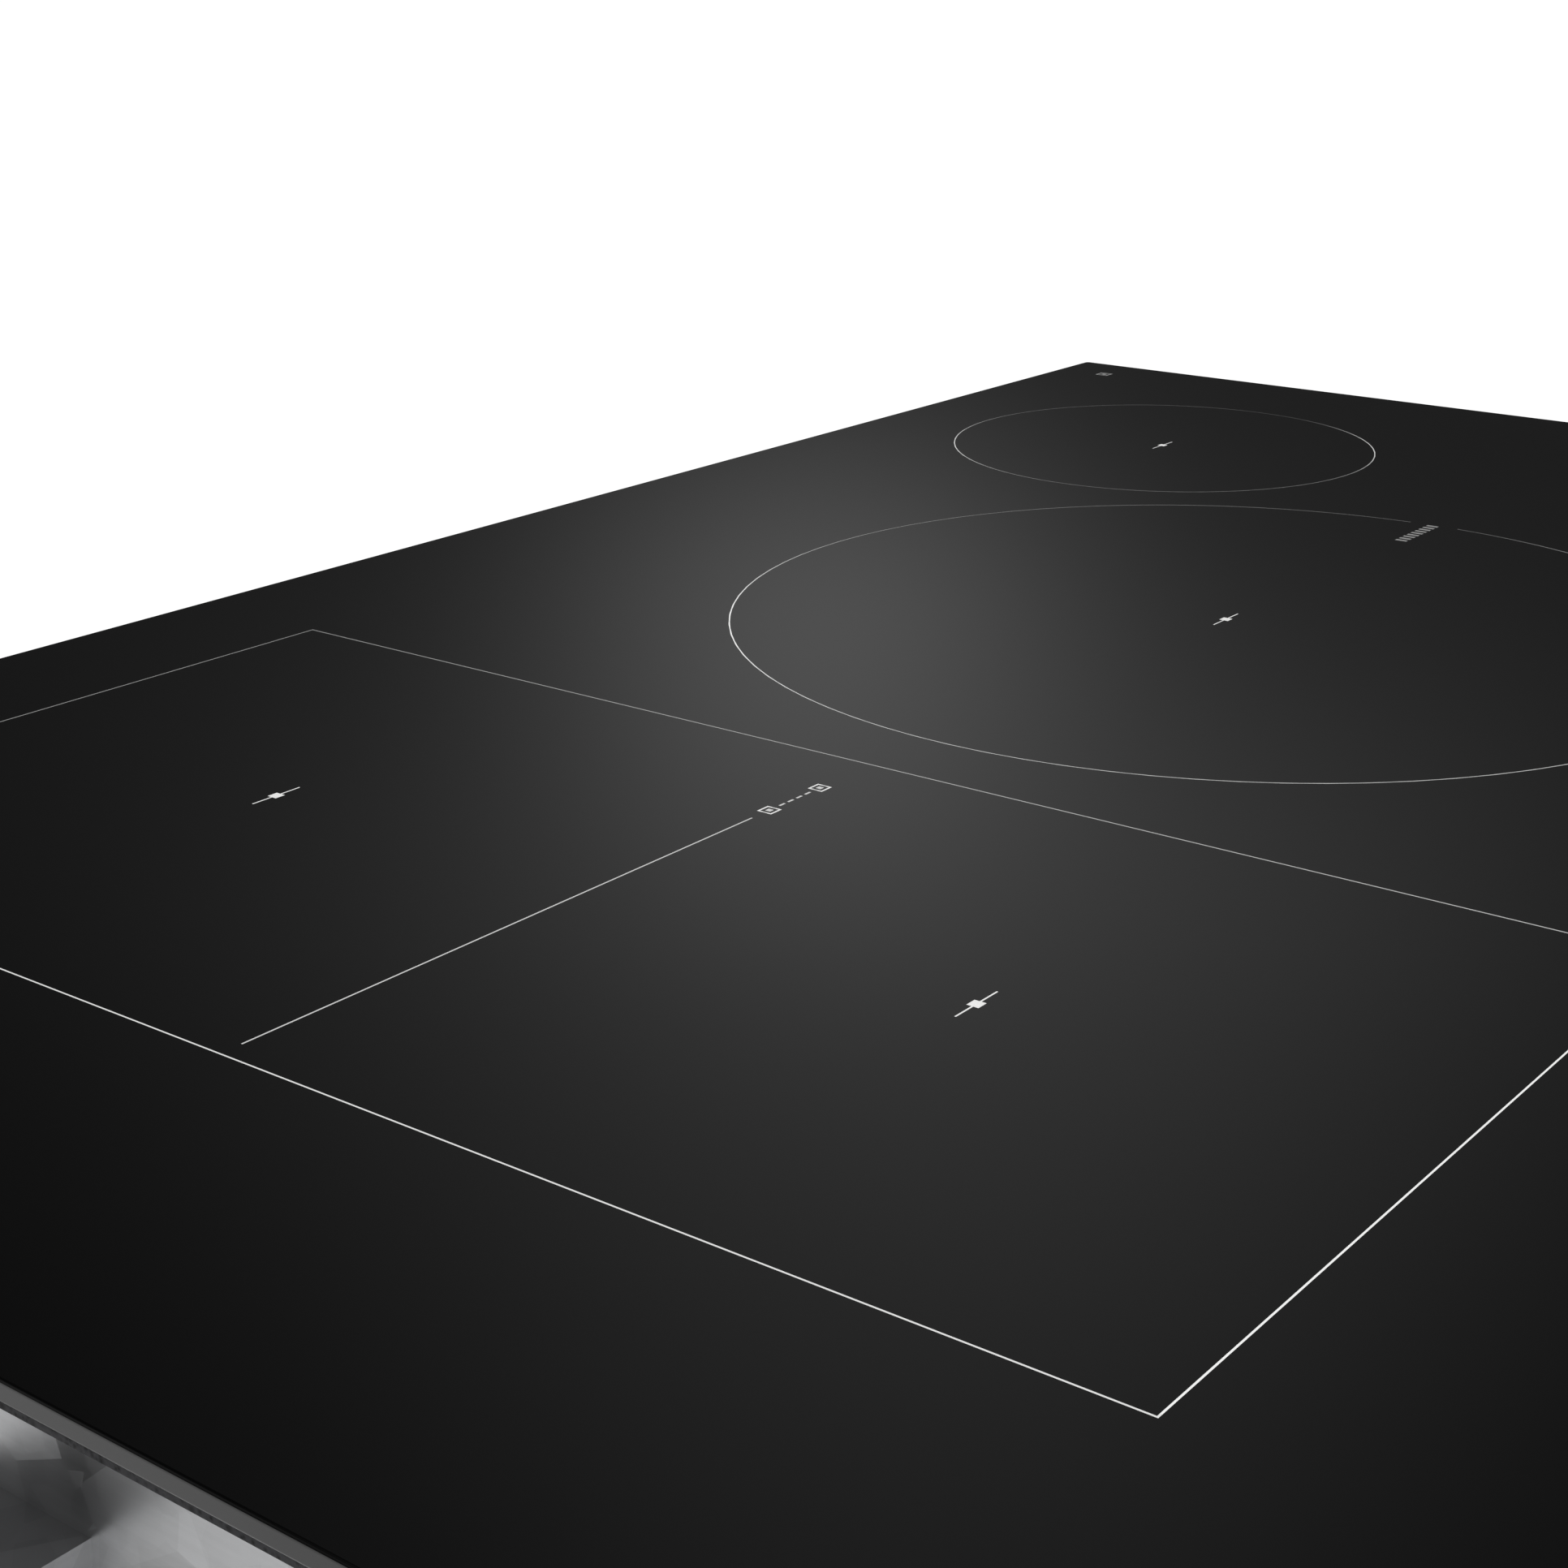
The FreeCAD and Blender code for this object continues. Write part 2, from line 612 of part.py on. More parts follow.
# ---------------------------------------------------------------- sprung coil carriers
FLEX_HALF_Y = (FLEX_Y + FLEX_D / 4, FLEX_Y - FLEX_D / 4)
EAR_R = 7.0
PIN_HOLE_R = 2.06
SENSOR_R = 5.0
LEAD_R = 2.2
LEAD_OFFSET = 22.0              # lead holes beside the middle of each coil
LEAD_BACK = 9.0
FERRITE_W = 14.0


class Coil:
    """One winding with its former. A square coil has width and depth, a round one radius."""

    def __init__(self, x, y, w, d, corner, core):
        self.x, self.y, self.w, self.d = x, y, w, d
        self.corner, self.core = corner, core

    def outline(self, z0, z1, margin=0.0):
        r = self.corner + margin - 0.01
        return slab(self.x, self.y, self.w + 2 * margin, self.d + 2 * margin, r, z0, z1)

    def lead_points(self):
        return [(self.x + s * LEAD_OFFSET, self.y + LEAD_BACK) for s in (-1, 1)]

    def lead_holes(self, r, z0, z1):
        return [cylinder(x, y, r, z0, z1) for x, y in self.lead_points()]


def coils(name):
    if name == "flex":
        return [Coil(FLEX_X, y, 186.0, 178.0, 62.0, 26.0) for y in FLEX_HALF_Y]
    if name == "large":
        return [Coil(LARGE_X, LARGE_Y, 256.0, 256.0, 128.0, 30.0)]
    return [Coil(SMALL_X, SMALL_Y, 136.0, 136.0, 68.0, 26.0)]


def ear_places(name):
    """Where the guide pins and springs of a carrier are."""
    if name == "flex":
        return [(FLEX_X + s * 105, FLEX_Y + t * 150) for s in (-1, 1) for t in (-1, 0, 1)]
    if name == "large":
        return [polar(LARGE_X, LARGE_Y, 141, a) for a in (45, 135, 225, 315)]
    return [polar(SMALL_X, SMALL_Y, 82, a) for a in (45, 135, 225, 315)]


def ferrite_bars(coil):
    """Radial ferrite bars under the former, clear of the core and the lead holes."""
    bars = []
    reach = min(coil.w, coil.d) / 2 - 4
    for k in range(8):
        a = 45.0 * k
        bar = box(coil.core + 8, reach, -FERRITE_W / 2, FERRITE_W / 2, PLATE_TOP, FERRITE_TOP)
        bars.append(moved(turned(bar, a + 22.5, 0, 0), coil.x, coil.y))
    return bars


def carrier_plate(name, members):
    """Aluminium plate under the ferrites, with an ear for each guide pin."""
    if name == "flex":
        body = slab(FLEX_X, FLEX_Y, 190, 374, 30, PLATE_Z, PLATE_TOP)
    else:
        body = members[0].outline(PLATE_Z, PLATE_TOP, 1.5)
    parts = [body]
    cx = sum(c.x for c in members) / len(members)
    cy = sum(c.y for c in members) / len(members)
    for x, y in ear_places(name):
        root_x = FLEX_X if name == "flex" else cx
        root_y = y if name == "flex" else cy
        length = math.hypot(x - root_x, y - root_y)
        angle = math.degrees(math.atan2(y - root_y, x - root_x))
        arm = turned(box(length - 26, length, -EAR_R, EAR_R, PLATE_Z, PLATE_TOP), angle, 0, 0)
        parts += [moved(arm, root_x, root_y), cylinder(x, y, EAR_R, PLATE_Z, PLATE_TOP)]
    holes = [cylinder(x, y, PIN_HOLE_R, PLATE_Z - 1, PLATE_TOP + 1) for x, y in ear_places(name)]
    for coil in members:
        holes.append(cylinder(coil.x, coil.y, 8, PLATE_Z - 1, PLATE_TOP + 1))
        holes += coil.lead_holes(5, PLATE_Z - 1, PLATE_TOP + 1)
    return fuse(parts).cut(holes)


def coil_former(coil):
    """Moulded disc that the winding lies on, with a centre boss and an outer rim."""
    disc = coil.outline(FERRITE_TOP, FORMER_TOP)
    rim = coil.outline(FORMER_TOP, WINDING_TOP).cut(coil.outline(FORMER_TOP - 1, WINDING_TOP + 1,
                                                                 -2.0))
    boss = cylinder(coil.x, coil.y, SENSOR_R + 2.5, PLATE_TOP, WINDING_TOP)
    walls = tube(coil.x, coil.y, coil.core - 0.2, coil.core - 2.2, FORMER_TOP, WINDING_TOP)
    bore = cylinder(coil.x, coil.y, SENSOR_R, PLATE_TOP - 1, WINDING_TOP + 1)
    return fuse([disc, rim, boss, walls]).cut(bore)


def coil_winding(coil):
    """Flat pancake of litz turns between the core wall and the rim of the former."""
    body = coil.outline(FORMER_TOP, WINDING_TOP - 0.2, -2.4)
    return body.cut(cylinder(coil.x, coil.y, coil.core, FORMER_TOP - 1, WINDING_TOP + 1))


def coil_sensor(coil):
    """Spring-loaded thermistor puck in the middle of the coil."""
    body = cylinder(coil.x, coil.y, SENSOR_R - 0.05, PLATE_TOP, INSULATION_TOP)
    foot = cylinder(coil.x, coil.y, 2.0, PLATE_TOP - 6, PLATE_TOP)
    return fuse([body, foot])


def insulation_sheet(name, members):
    if name == "flex":
        sheet = slab(FLEX_X, FLEX_Y, 194, 376, 24, WINDING_TOP, INSULATION_TOP)
    else:
        sheet = members[0].outline(WINDING_TOP, INSULATION_TOP, 3.0)
    return sheet.cut([cylinder(c.x, c.y, SENSOR_R + 1, WINDING_TOP - 1, INSULATION_TOP + 1)
                      for c in members])


def arc(a, b, c):
    return Part.Arc(V(*a), V(*b), V(*c)).toShape()


def spring(x, y, z0, z1):
    """Bow spring: an arched steel strip with a hole for the guide pin in its crown."""
    low, high, foot = z0 + SPRING_END_GAP, z1 - SPRING_END_GAP, SPRING_HALF - 0.9
    edge = -SPRING_W / 2
    outside = arc((-SPRING_HALF, edge, low), (0, edge, high), (SPRING_HALF, edge, low))
    inside = arc((foot, edge, low), (0, edge, high - SPRING_T), (-foot, edge, low))
    ends = [Part.LineSegment(V(SPRING_HALF, edge, low), V(foot, edge, low)).toShape(),
            Part.LineSegment(V(-foot, edge, low), V(-SPRING_HALF, edge, low)).toShape()]
    wire = Part.Wire([outside, ends[0], inside, ends[1]])
    strip = Part.Face(wire).extrude(V(0, SPRING_W, 0))
    return moved(strip.cut(cylinder(0, 0, PIN_R + 0.6, z0 - 1, z1 + 1)), x, y)


def cord(points, bend, r):
    """Round cord along straight runs joined by tangent arcs."""
    pts = [V(*p) for p in points]
    edges = []
    start = pts[0]
    for before, corner, after in zip(pts, pts[1:], pts[2:]):
        a = (before - corner).normalize()
        b = (after - corner).normalize()
        half = math.acos(max(-1, min(1, a.dot(b)))) / 2
        cut = bend / math.tan(half)
        p, q = corner + a * cut, corner + b * cut
        bisector = (a + b).normalize()
        middle = corner + bisector * (bend / math.sin(half) - bend)
        edges.append(Part.LineSegment(start, p).toShape())
        edges.append(Part.Arc(p, middle, q).toShape())
        start = q
    edges.append(Part.LineSegment(start, pts[-1]).toShape())
    path = Part.Wire(edges)
    profile = Part.Wire([Part.makeCircle(r, pts[0], pts[1] - pts[0])])
    return path.makePipeShell([profile], True, False)


LEAD_RUN_Z = 53.0
BOARD_TOP = BOARD_Z + BOARD_T
TERMINAL_ROW_Y = 58.0
LEAD_STARTS = {
    "flex": (-230.0, -215.0, -185.0, -170.0),
    "large": (125.0, 140.0),
    "small": (250.0, 265.0),
}


def coil_leads(name, members):
    """Sleeved litz leads from the power board up to the coil formers."""
    ends = [p for c in members for p in c.lead_points()]
    leads = []
    for x, (ex, ey) in zip(LEAD_STARTS[name], ends):
        points = [(x, TERMINAL_ROW_Y, BOARD_TOP), (x, TERMINAL_ROW_Y, LEAD_RUN_Z),
                  (ex, ey, LEAD_RUN_Z), (ex, ey, FERRITE_TOP)]
        leads.append(cord(points, 9.0, LEAD_R))
    return group(leads)


def build_carriers():
    nodes = {}
    for name in ("flex", "large", "small"):
        members = coils(name)
        nodes[name + "_insulation"] = insulation_sheet(name, members)
        nodes[name + "_windings"] = group(coil_winding(c) for c in members)
        nodes[name + "_formers"] = group(coil_former(c) for c in members)
        nodes[name + "_ferrites"] = group(bar for c in members for bar in ferrite_bars(c))
        nodes[name + "_carrier_plate"] = carrier_plate(name, members)
        nodes[name + "_sensors"] = group(coil_sensor(c) for c in members)
        nodes[name + "_springs"] = group(spring(x, y, TRAY_TOP, PLATE_Z)
                                         for x, y in ear_places(name))
        nodes[name + "_leads"] = coil_leads(name, members)
    return nodes


# ---------------------------------------------------------------- tray under the coils
TRAY_W = 700.0
TRAY_D = 458.0
RIBBON_X = -110.0
RIBBON_Y = -184.0


def build_tray():
    top = slab(0, 0, TRAY_W, TRAY_D, 10, TRAY_TOP - TRAY_T, TRAY_TOP)
    legs = []
    for s in (-1, 1):
        wall = block(s * (TRAY_W - TRAY_T) / 2, 0, TRAY_T, 380, SHEET, TRAY_TOP)
        foot = block(s * (TRAY_W / 2 - 8), 0, 16, 380, SHEET, SHEET + TRAY_T)
        legs += [wall, foot]
    openings = []
    for name, r in (("flex", 52), ("large", 84), ("small", 38)):
        for c in coils(name):
            openings.append(cylinder(c.x, c.y, r, TRAY_TOP - 5, TRAY_TOP + 1))
    openings.append(slab(RIBBON_X, RIBBON_Y, 30, 12, 4, TRAY_TOP - 5, TRAY_TOP + 1))
    for x in (-150, 60, 250):
        openings.append(slab(x, -150 if x > 0 else -196, 70, 24, 11, TRAY_TOP - 5, TRAY_TOP + 1))
    pins = []
    holes = []
    for name in ("flex", "large", "small"):
        for x, y in ear_places(name):
            shank = cylinder(x, y, PIN_R, TRAY_TOP - TRAY_T, PLATE_TOP + 1)
            head = cylinder(x, y, PIN_HEAD_R, PLATE_TOP + 1, PLATE_TOP + 1 + PIN_HEAD_T)
            pins.append(fuse([shank, head]))
            holes.append(cylinder(x, y, PIN_R, TRAY_TOP - 5, TRAY_TOP + 1))
    tray = fuse([top] + legs).cut(openings + holes)
    return {"coil_tray": tray, "tray_pins": group(pins)}


# ---------------------------------------------------------------- blowers
FAN_Z = 3.0
FAN_TOP = 48.0
FAN_WALL = 1.6
IMPELLER_R = 50.0
IMPELLER_Z = 7.0
IMPELLER_DISC_Z = 25.0
SHAFT_R = 2.0
SHAFT_BORE_R = 2.05
MOTOR_R = 16.0
MOTOR_Z = 30.0


def fan_housing(x, y):
    """Scroll housing, intake in its floor and outlet towards the front."""
    half = FAN_SIZE / 2
    shell = fuse([cylinder(x, y, half, FAN_Z, FAN_TOP),
                  box(x - half, x + half, y - half - 2, y, FAN_Z, FAN_TOP)])
    w = half - FAN_WALL
    room = fuse([cylinder(x, y, w, FAN_Z + FAN_WALL, FAN_TOP - FAN_WALL),
                 box(x - w, x + w, y - half - 5, y, FAN_Z + FAN_WALL, FAN_TOP - FAN_WALL)])
    intake = cylinder(x, y, FAN_INLET_R, FAN_Z - 1, FAN_Z + 3)
    feet = [cylinder(x + s * 50, y + t * 50 - 4, 4, SHEET, FAN_Z) for s in (-1, 1) for t in (-1,)]
    feet += [cylinder(x + s * 36, y + 36, 4, SHEET, FAN_Z) for s in (-1, 1)]
    return fuse([shell.cut([room, intake])] + feet)


def fan_motor(x, y):
    can = cylinder(x, y, MOTOR_R, MOTOR_Z, FAN_TOP - FAN_WALL)
    shaft = cylinder(x, y, SHAFT_R, IMPELLER_Z + 6, MOTOR_Z)
    return fuse([can, shaft])


def fan_impeller(x, y):
    """Squirrel-cage wheel: hub, disc, curved blades and an end ring."""
    hub = cylinder(x, y, 6.0, 15, IMPELLER_DISC_Z)
    disc = cylinder(x, y, IMPELLER_R, IMPELLER_DISC_Z, IMPELLER_DISC_Z + 1.5)
    ring = tube(x, y, IMPELLER_R, IMPELLER_R - 7, IMPELLER_Z, IMPELLER_Z + 1.5)
    blades = []
    for k in range(30):
        a = 12.0 * k
        blade = box(IMPELLER_R - 7, IMPELLER_R - 0.3, -0.5, 0.5, IMPELLER_Z + 1, IMPELLER_DISC_Z + 0.5)
        blade = turned(blade, 25.0, IMPELLER_R - 3.5, 0)
        blades.append(moved(turned(blade, a, 0, 0), x, y))
    bore = cylinder(x, y, SHAFT_BORE_R, 0, MOTOR_Z)
    return fuse([hub, disc, ring] + blades).cut(bore)


def build_fans():
    sides = (("right", FAN_X), ("left", -FAN_X))
    nodes = {"fan_impeller_" + side: fan_impeller(x, FAN_Y) for side, x in sides}
    nodes["fan_housings"] = group(fan_housing(x, FAN_Y) for _, x in sides)
    nodes["fan_motors"] = group(fan_motor(x, FAN_Y) for _, x in sides)
    return nodes


# ---------------------------------------------------------------- electronics
BOARD_X = 195.0
BOARD_Y = -60.0
BOARD_W = 200.0
BOARD_D = 250.0
SINK_W = 60.0
SINK_Y = -40.0
SINK_D = 160.0
SINK_TOP = 46.0
FILTER_X, FILTER_Y, FILTER_W, FILTER_D = 0.0, 130.0, 116.0, 90.0


def board_base(x, y, w, d):
    """Plastic frame with feet and standoffs that carries a board clear of the floor."""
    lift = 2.6
    plate = slab_ring(x, y, w + 6, d + 6, 6, 16, lift, lift + BASE_T, 1.0)
    bars = [block(x, y + t * d / 6, w, 10, lift, lift + BASE_T) for t in (-1, 1)]
    spots = [(x + s * (w / 2 - 6), y + t * (d / 2 - 6)) for s in (-1, 1) for t in (-1, 1)]
    feet = [cylinder(px, py, 4, SHEET, lift) for px, py in spots]
    posts = [cylinder(px, py, 4, lift + BASE_T, BOARD_Z) for px, py in spots]
    pegs = [cylinder(px, py, 1.5, BOARD_Z, BOARD_TOP + 1) for px, py in spots]
    return fuse([plate] + bars + feet + posts + pegs)


def circuit_board(x, y, w, d):
    spots = [(x + s * (w / 2 - 6), y + t * (d / 2 - 6)) for s in (-1, 1) for t in (-1, 1)]
    board = slab(x, y, w, d, 2, BOARD_Z, BOARD_TOP)
    return board.cut([cylinder(px, py, 1.55, BOARD_Z - 1, BOARD_TOP + 1) for px, py in spots])


def heat_sink(x):
    base = block(x, SINK_Y, SINK_W, SINK_D, BOARD_TOP, BOARD_TOP + 6)
    walls = [block(x + s * (SINK_W / 2 - 2.5), SINK_Y, 5, SINK_D, BOARD_TOP, SINK_TOP)
             for s in (-1, 1)]
    fins = [block(x - 22 + 5.5 * k, SINK_Y, 1.4, SINK_D, BOARD_TOP + 5, SINK_TOP)
            for k in range(9)]
    return fuse([base] + walls + fins)


def transistor(x, y, out):
    """Power package standing against the side of the heat sink, legs into the board."""
    body = block(x + out * 2.5, y, 5, 16, BOARD_TOP + 6, BOARD_TOP + 26)
    legs = [block(x + out * 3.2, y + 5.4 * k, 0.8, 1.2, BOARD_TOP, BOARD_TOP + 7)
            for k in (-1, 0, 1)]
    return fuse([body] + legs)


def film_capacitor(x, y, w, d, h):
    body = block(x, y, w, d, BOARD_TOP, BOARD_TOP + h)
    return body.makeFillet(1.0, [e for e in body.Edges if e.BoundBox.ZMax > BOARD_TOP + h / 2])


def choke(x, y, r, core_r):
    ring = Part.makeTorus(r, core_r, V(x, y, BOARD_TOP + core_r + 1), UP)
    foot = tube(x, y, r + 3, r - 3, BOARD_TOP, BOARD_TOP + 3)
    return fuse([ring, foot])


def build_electronics():
    boards, bases, sinks, chips, caps, coils_ = [], [], [], [], [], []
    for s in (-1, 1):
        x = s * BOARD_X
        boards.append(circuit_board(x, BOARD_Y, BOARD_W, BOARD_D))
        bases.append(board_base(x, BOARD_Y, BOARD_W, BOARD_D))
        sinks.append(heat_sink(x))
        chips += [transistor(x + s * SINK_W / 2, SINK_Y + 30 * k, s) for k in (-2, -1, 0, 1, 2)]
        caps += [film_capacitor(x + s * 62, SINK_Y + 40 * k, 30, 22, 26) for k in (-1, 0, 1)]
        caps.append(film_capacitor(x - s * 58, -10, 34, 26, 30))
        coils_ += [choke(x - s * 58, y, 15, 6) for y in (-140, -90)]
    boards.append(circuit_board(FILTER_X, FILTER_Y, FILTER_W, FILTER_D))
    bases.append(board_base(FILTER_X, FILTER_Y, FILTER_W, FILTER_D))
    caps += [film_capacitor(-30, 120, 26, 14, 18), film_capacitor(-30, 142, 26, 14, 18)]
    coils_.append(choke(22, 130, 16, 7))
    return {
        "circuit_boards": group(boards), "board_bases": group(bases),
        "heat_sinks": group(sinks), "power_transistors": group(chips),
        "capacitors": group(caps), "chokes": group(coils_),
    }


# ---------------------------------------------------------------- touch controls
TOUCH_X = 26.0
TOUCH_W = 560.0
TOUCH_D = 38.0
TOUCH_FLOOR = 76.0
TOUCH_BOARD_Z = 83.0
TOUCH_BOARD_TOP = TOUCH_BOARD_Z + BOARD_T


def build_touch():
    """Touch board under the printed controls, in a plastic housing that stands on the tray."""
    y, wall = CONTROL_Y, 1.6
    shell = slab(TOUCH_X, y, TOUCH_W, TOUCH_D, 3, TOUCH_FLOOR, INSULATION_TOP)
    room = slab(TOUCH_X, y, TOUCH_W - 2 * wall, TOUCH_D - 2 * wall, 1.6,
                TOUCH_FLOOR + wall, GLASS_Z + 1)
    spots = [TOUCH_X + k * 88 for k in range(-3, 4)]
    ledges = [block(x + 20, y, 3, TOUCH_D - 2 * wall, TOUCH_FLOOR + wall, TOUCH_BOARD_Z)
              for x in spots[:-1]]
    legs = [block(x, y, 12, 20, TRAY_TOP, TOUCH_FLOOR) for x in spots[::2]]
    gate = block(RIBBON_X, y + TOUCH_D / 2, 18, 6, TOUCH_FLOOR + 3, TOUCH_FLOOR + 6)
    housing = fuse([shell.cut(room)] + ledges + legs).cut(gate)
    board = slab(TOUCH_X, y, TOUCH_W - 2 * wall - 1, TOUCH_D - 2 * wall - 1, 1.5,
                 TOUCH_BOARD_Z, TOUCH_BOARD_TOP)
    plug = block(RIBBON_X, y + 8, 18, 6, TOUCH_FLOOR + 2.4, TOUCH_BOARD_Z)
    places = [(SLIDER_X + SLIDER_PITCH * k, y + 11) for k in range(4)] + [(264.0, y + 11)]
    displays = [block(px, py, 22, 9, TOUCH_BOARD_TOP, INSULATION_TOP) for px, py in places]
    return {"touch_housing": housing, "touch_board": fuse([board, plug]),
            "touch_displays": group(displays)}


def ribbon_cable():
    """Flat cable from the left power board to the touch board."""
    w, t, bend = 14.0, 1.2, 5.0
    z_run = TOUCH_FLOOR + 4.5
    end_y = CONTROL_Y + 11
    path = Part.Wire([
        Part.LineSegment(V(RIBBON_X, RIBBON_Y, BOARD_TOP), V(RIBBON_X, RIBBON_Y, z_run - bend)).toShape(),
        Part.Arc(V(RIBBON_X, RIBBON_Y, z_run - bend),
                 V(RIBBON_X, RIBBON_Y - bend * (1 - math.sqrt(0.5)),
                   z_run - bend * (1 - math.sqrt(0.5))),
                 V(RIBBON_X, RIBBON_Y - bend, z_run)).toShape(),
        Part.LineSegment(V(RIBBON_X, RIBBON_Y - bend, z_run), V(RIBBON_X, end_y, z_run)).toShape(),
    ])
    z = BOARD_TOP
    section = Part.makePolygon([V(RIBBON_X - w / 2, RIBBON_Y - t / 2, z),
                                V(RIBBON_X + w / 2, RIBBON_Y - t / 2, z),
                                V(RIBBON_X + w / 2, RIBBON_Y + t / 2, z),
                                V(RIBBON_X - w / 2, RIBBON_Y + t / 2, z),
                                V(RIBBON_X - w / 2, RIBBON_Y - t / 2, z)])
    return path.makePipeShell([section], True, False)


def build_wiring():
    """Supply wires, board-to-board wires, blower wires and the ribbon cable."""
    wires = [ribbon_cable()]
    for x in terminal_xs()[:3]:
        wires.append(cord([(x, TERMINAL_Y - 8, 16), (x, 165, 16), (x, 165, BOARD_TOP)], 4.0, 1.8))
    for s in (-1, 1):
        for k in (0, 1):
            start = (s * (38 + 9 * k), 100)
            end = (s * (104 + 8 * k), 34)
            z = 26
            wires.append(cord([start + (BOARD_TOP,), start + (z,), end + (z,), end + (BOARD_TOP,)],
                              6.0, 1.6))
        wires.append(cord([(s * (FAN_X - FAN_SIZE / 2), 150, 34), (s * 120, 150, 34),
                           (s * 103, 57, 34), (s * 103, 57, BOARD_TOP)], 5.0, 1.2))
    return {"wiring": group(wires)}


# ---------------------------------------------------------------- assembly
def build():
    nodes = {}
    for make in (build_glass, build_frame, build_body, build_clamps, build_entry, build_carriers,
                 build_tray, build_fans, build_electronics, build_touch, build_wiring):
        nodes.update(make())
    nodes["case_screws"] = all_screws()
    return nodes


os.makedirs("parts", exist_ok=True)
for node, shape in build().items():
    shape.exportStep(os.path.join("parts", node + ".step"))
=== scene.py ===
"""Looks of the built-in induction cooktop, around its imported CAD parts.

Metres. +X is to the user's right, +Y to the back, +Z up.
"""
import json
import math
from collections import namedtuple

import bmesh
import bpy
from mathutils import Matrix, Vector


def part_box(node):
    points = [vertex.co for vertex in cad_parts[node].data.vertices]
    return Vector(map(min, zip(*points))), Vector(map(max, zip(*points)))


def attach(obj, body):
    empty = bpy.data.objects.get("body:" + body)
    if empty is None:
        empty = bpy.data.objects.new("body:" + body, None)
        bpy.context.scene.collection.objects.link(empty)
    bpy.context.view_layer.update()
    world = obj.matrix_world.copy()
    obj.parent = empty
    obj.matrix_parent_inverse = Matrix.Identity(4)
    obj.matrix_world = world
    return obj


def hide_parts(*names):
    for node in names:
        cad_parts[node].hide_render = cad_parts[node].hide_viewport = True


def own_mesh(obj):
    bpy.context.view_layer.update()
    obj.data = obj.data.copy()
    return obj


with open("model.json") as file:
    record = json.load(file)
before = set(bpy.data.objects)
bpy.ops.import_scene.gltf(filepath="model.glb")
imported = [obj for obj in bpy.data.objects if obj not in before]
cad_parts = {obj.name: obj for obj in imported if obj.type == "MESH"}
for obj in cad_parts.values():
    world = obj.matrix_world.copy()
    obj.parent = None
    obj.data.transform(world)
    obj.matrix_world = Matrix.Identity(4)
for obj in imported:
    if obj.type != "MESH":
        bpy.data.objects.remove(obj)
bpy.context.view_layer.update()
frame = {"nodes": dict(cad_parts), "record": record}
NODES = frame["nodes"]
TOP = 0.092                     # top of the glass

# Middles of the cooking zones, which are the same in the print and in the coils.
FLEX = (-0.2003, 0.0328)
LARGE = (0.0633, 0.0271)
SMALL = (0.2590, 0.1584)


# ------------------------------------------------------------------ node graph helper
class Graph:
    """Builds a node tree with few words."""

    def __init__(self, tree):
        self.tree = tree
        tree.nodes.clear()

    def add(self, kind, sockets=None, **settings):
        node = self.tree.nodes.new("ShaderNode" + kind)
        for key, value in settings.items():
            setattr(node, key, value)
        for key, value in (sockets or {}).items():
            self.put(node.inputs[key], value)
        return node

    def put(self, socket, value):
        """value is a node (its first output), an output socket or a plain value."""
        if isinstance(value, bpy.types.Node):
            value = value.outputs[0]
        if isinstance(value, bpy.types.NodeSocket):
            self.tree.links.new(value, socket)
        elif value is not None:
            socket.default_value = value

    def math(self, op, *values):
        node = self.add("Math", operation=op)
        for i, value in enumerate(values):
            self.put(node.inputs[i], value)
        return node

    def vmath(self, op, a, b):
        return self.add("VectorMath", {0: a, 1: b}, operation=op)

    def hypot(self, a, b):
        """Length of the plane vector (a, b)."""
        return self.math("SQRT", self.math("ADD", self.math("MULTIPLY", a, a),
                                           self.math("MULTIPLY", b, b)))

    def mix(self, factor, a, b):
        node = self.add("Mix", data_type="RGBA")
        self.put(node.inputs[0], factor)
        self.put(node.inputs[6], a)
        self.put(node.inputs[7], b)
        return node.outputs[2]

    def remap(self, value, a, b, lo=0.0, hi=1.0, smooth=False):
        """value from the range a to b onto the range lo to hi, and held there beyond it."""
        node = self.add("MapRange")
        node.interpolation_type = "SMOOTHSTEP" if smooth else "LINEAR"
        for i, v in enumerate((value, a, b, lo, hi)):
            self.put(node.inputs[i], v)
        return node.outputs[0]

    def place(self):
        """The point being shaded, in metres."""
        return self.add("TexCoord").outputs["Object"]

    def stretched(self, scale):
        """The same point with each axis scaled, for a directional grain."""
        return self.vmath("MULTIPLY", self.place(), scale)

    def noise(self, scale, detail=3.0, rough=0.55, at=None):
        node = self.add("TexNoise", {"Scale": scale, "Detail": detail, "Roughness": rough})
        self.put(node.inputs["Vector"], at or self.place())
        return node.outputs[0]

    def voronoi(self, scale, feature="F1", at=None, out="Distance"):
        node = self.add("TexVoronoi", {"Scale": scale}, feature=feature)
        self.put(node.inputs["Vector"], at or self.place())
        return node.outputs[out]

    def bump(self, height, distance, strength=1.0):
        return self.add("Bump", {"Height": height, "Distance": distance, "Strength": strength})


def rgb(r, g=None, b=None):
    """Colour with full alpha. One number gives a grey."""
    return (r, r if g is None else g, r if b is None else b, 1.0)


def darker(colour, share):
    """The colour with that share of its light taken away."""
    return tuple(c * (1 - share) for c in colour[:3]) + (1.0,)


def material(name):
    """New material with a Principled shader wired to the output: (material, graph, shader)."""
    mat = bpy.data.materials.new(name)
    mat.use_nodes = True
    g = Graph(mat.node_tree)
    shader = g.add("BsdfPrincipled")
    out = g.add("OutputMaterial")
    g.put(out.inputs["Surface"], shader)
    return mat, g, shader


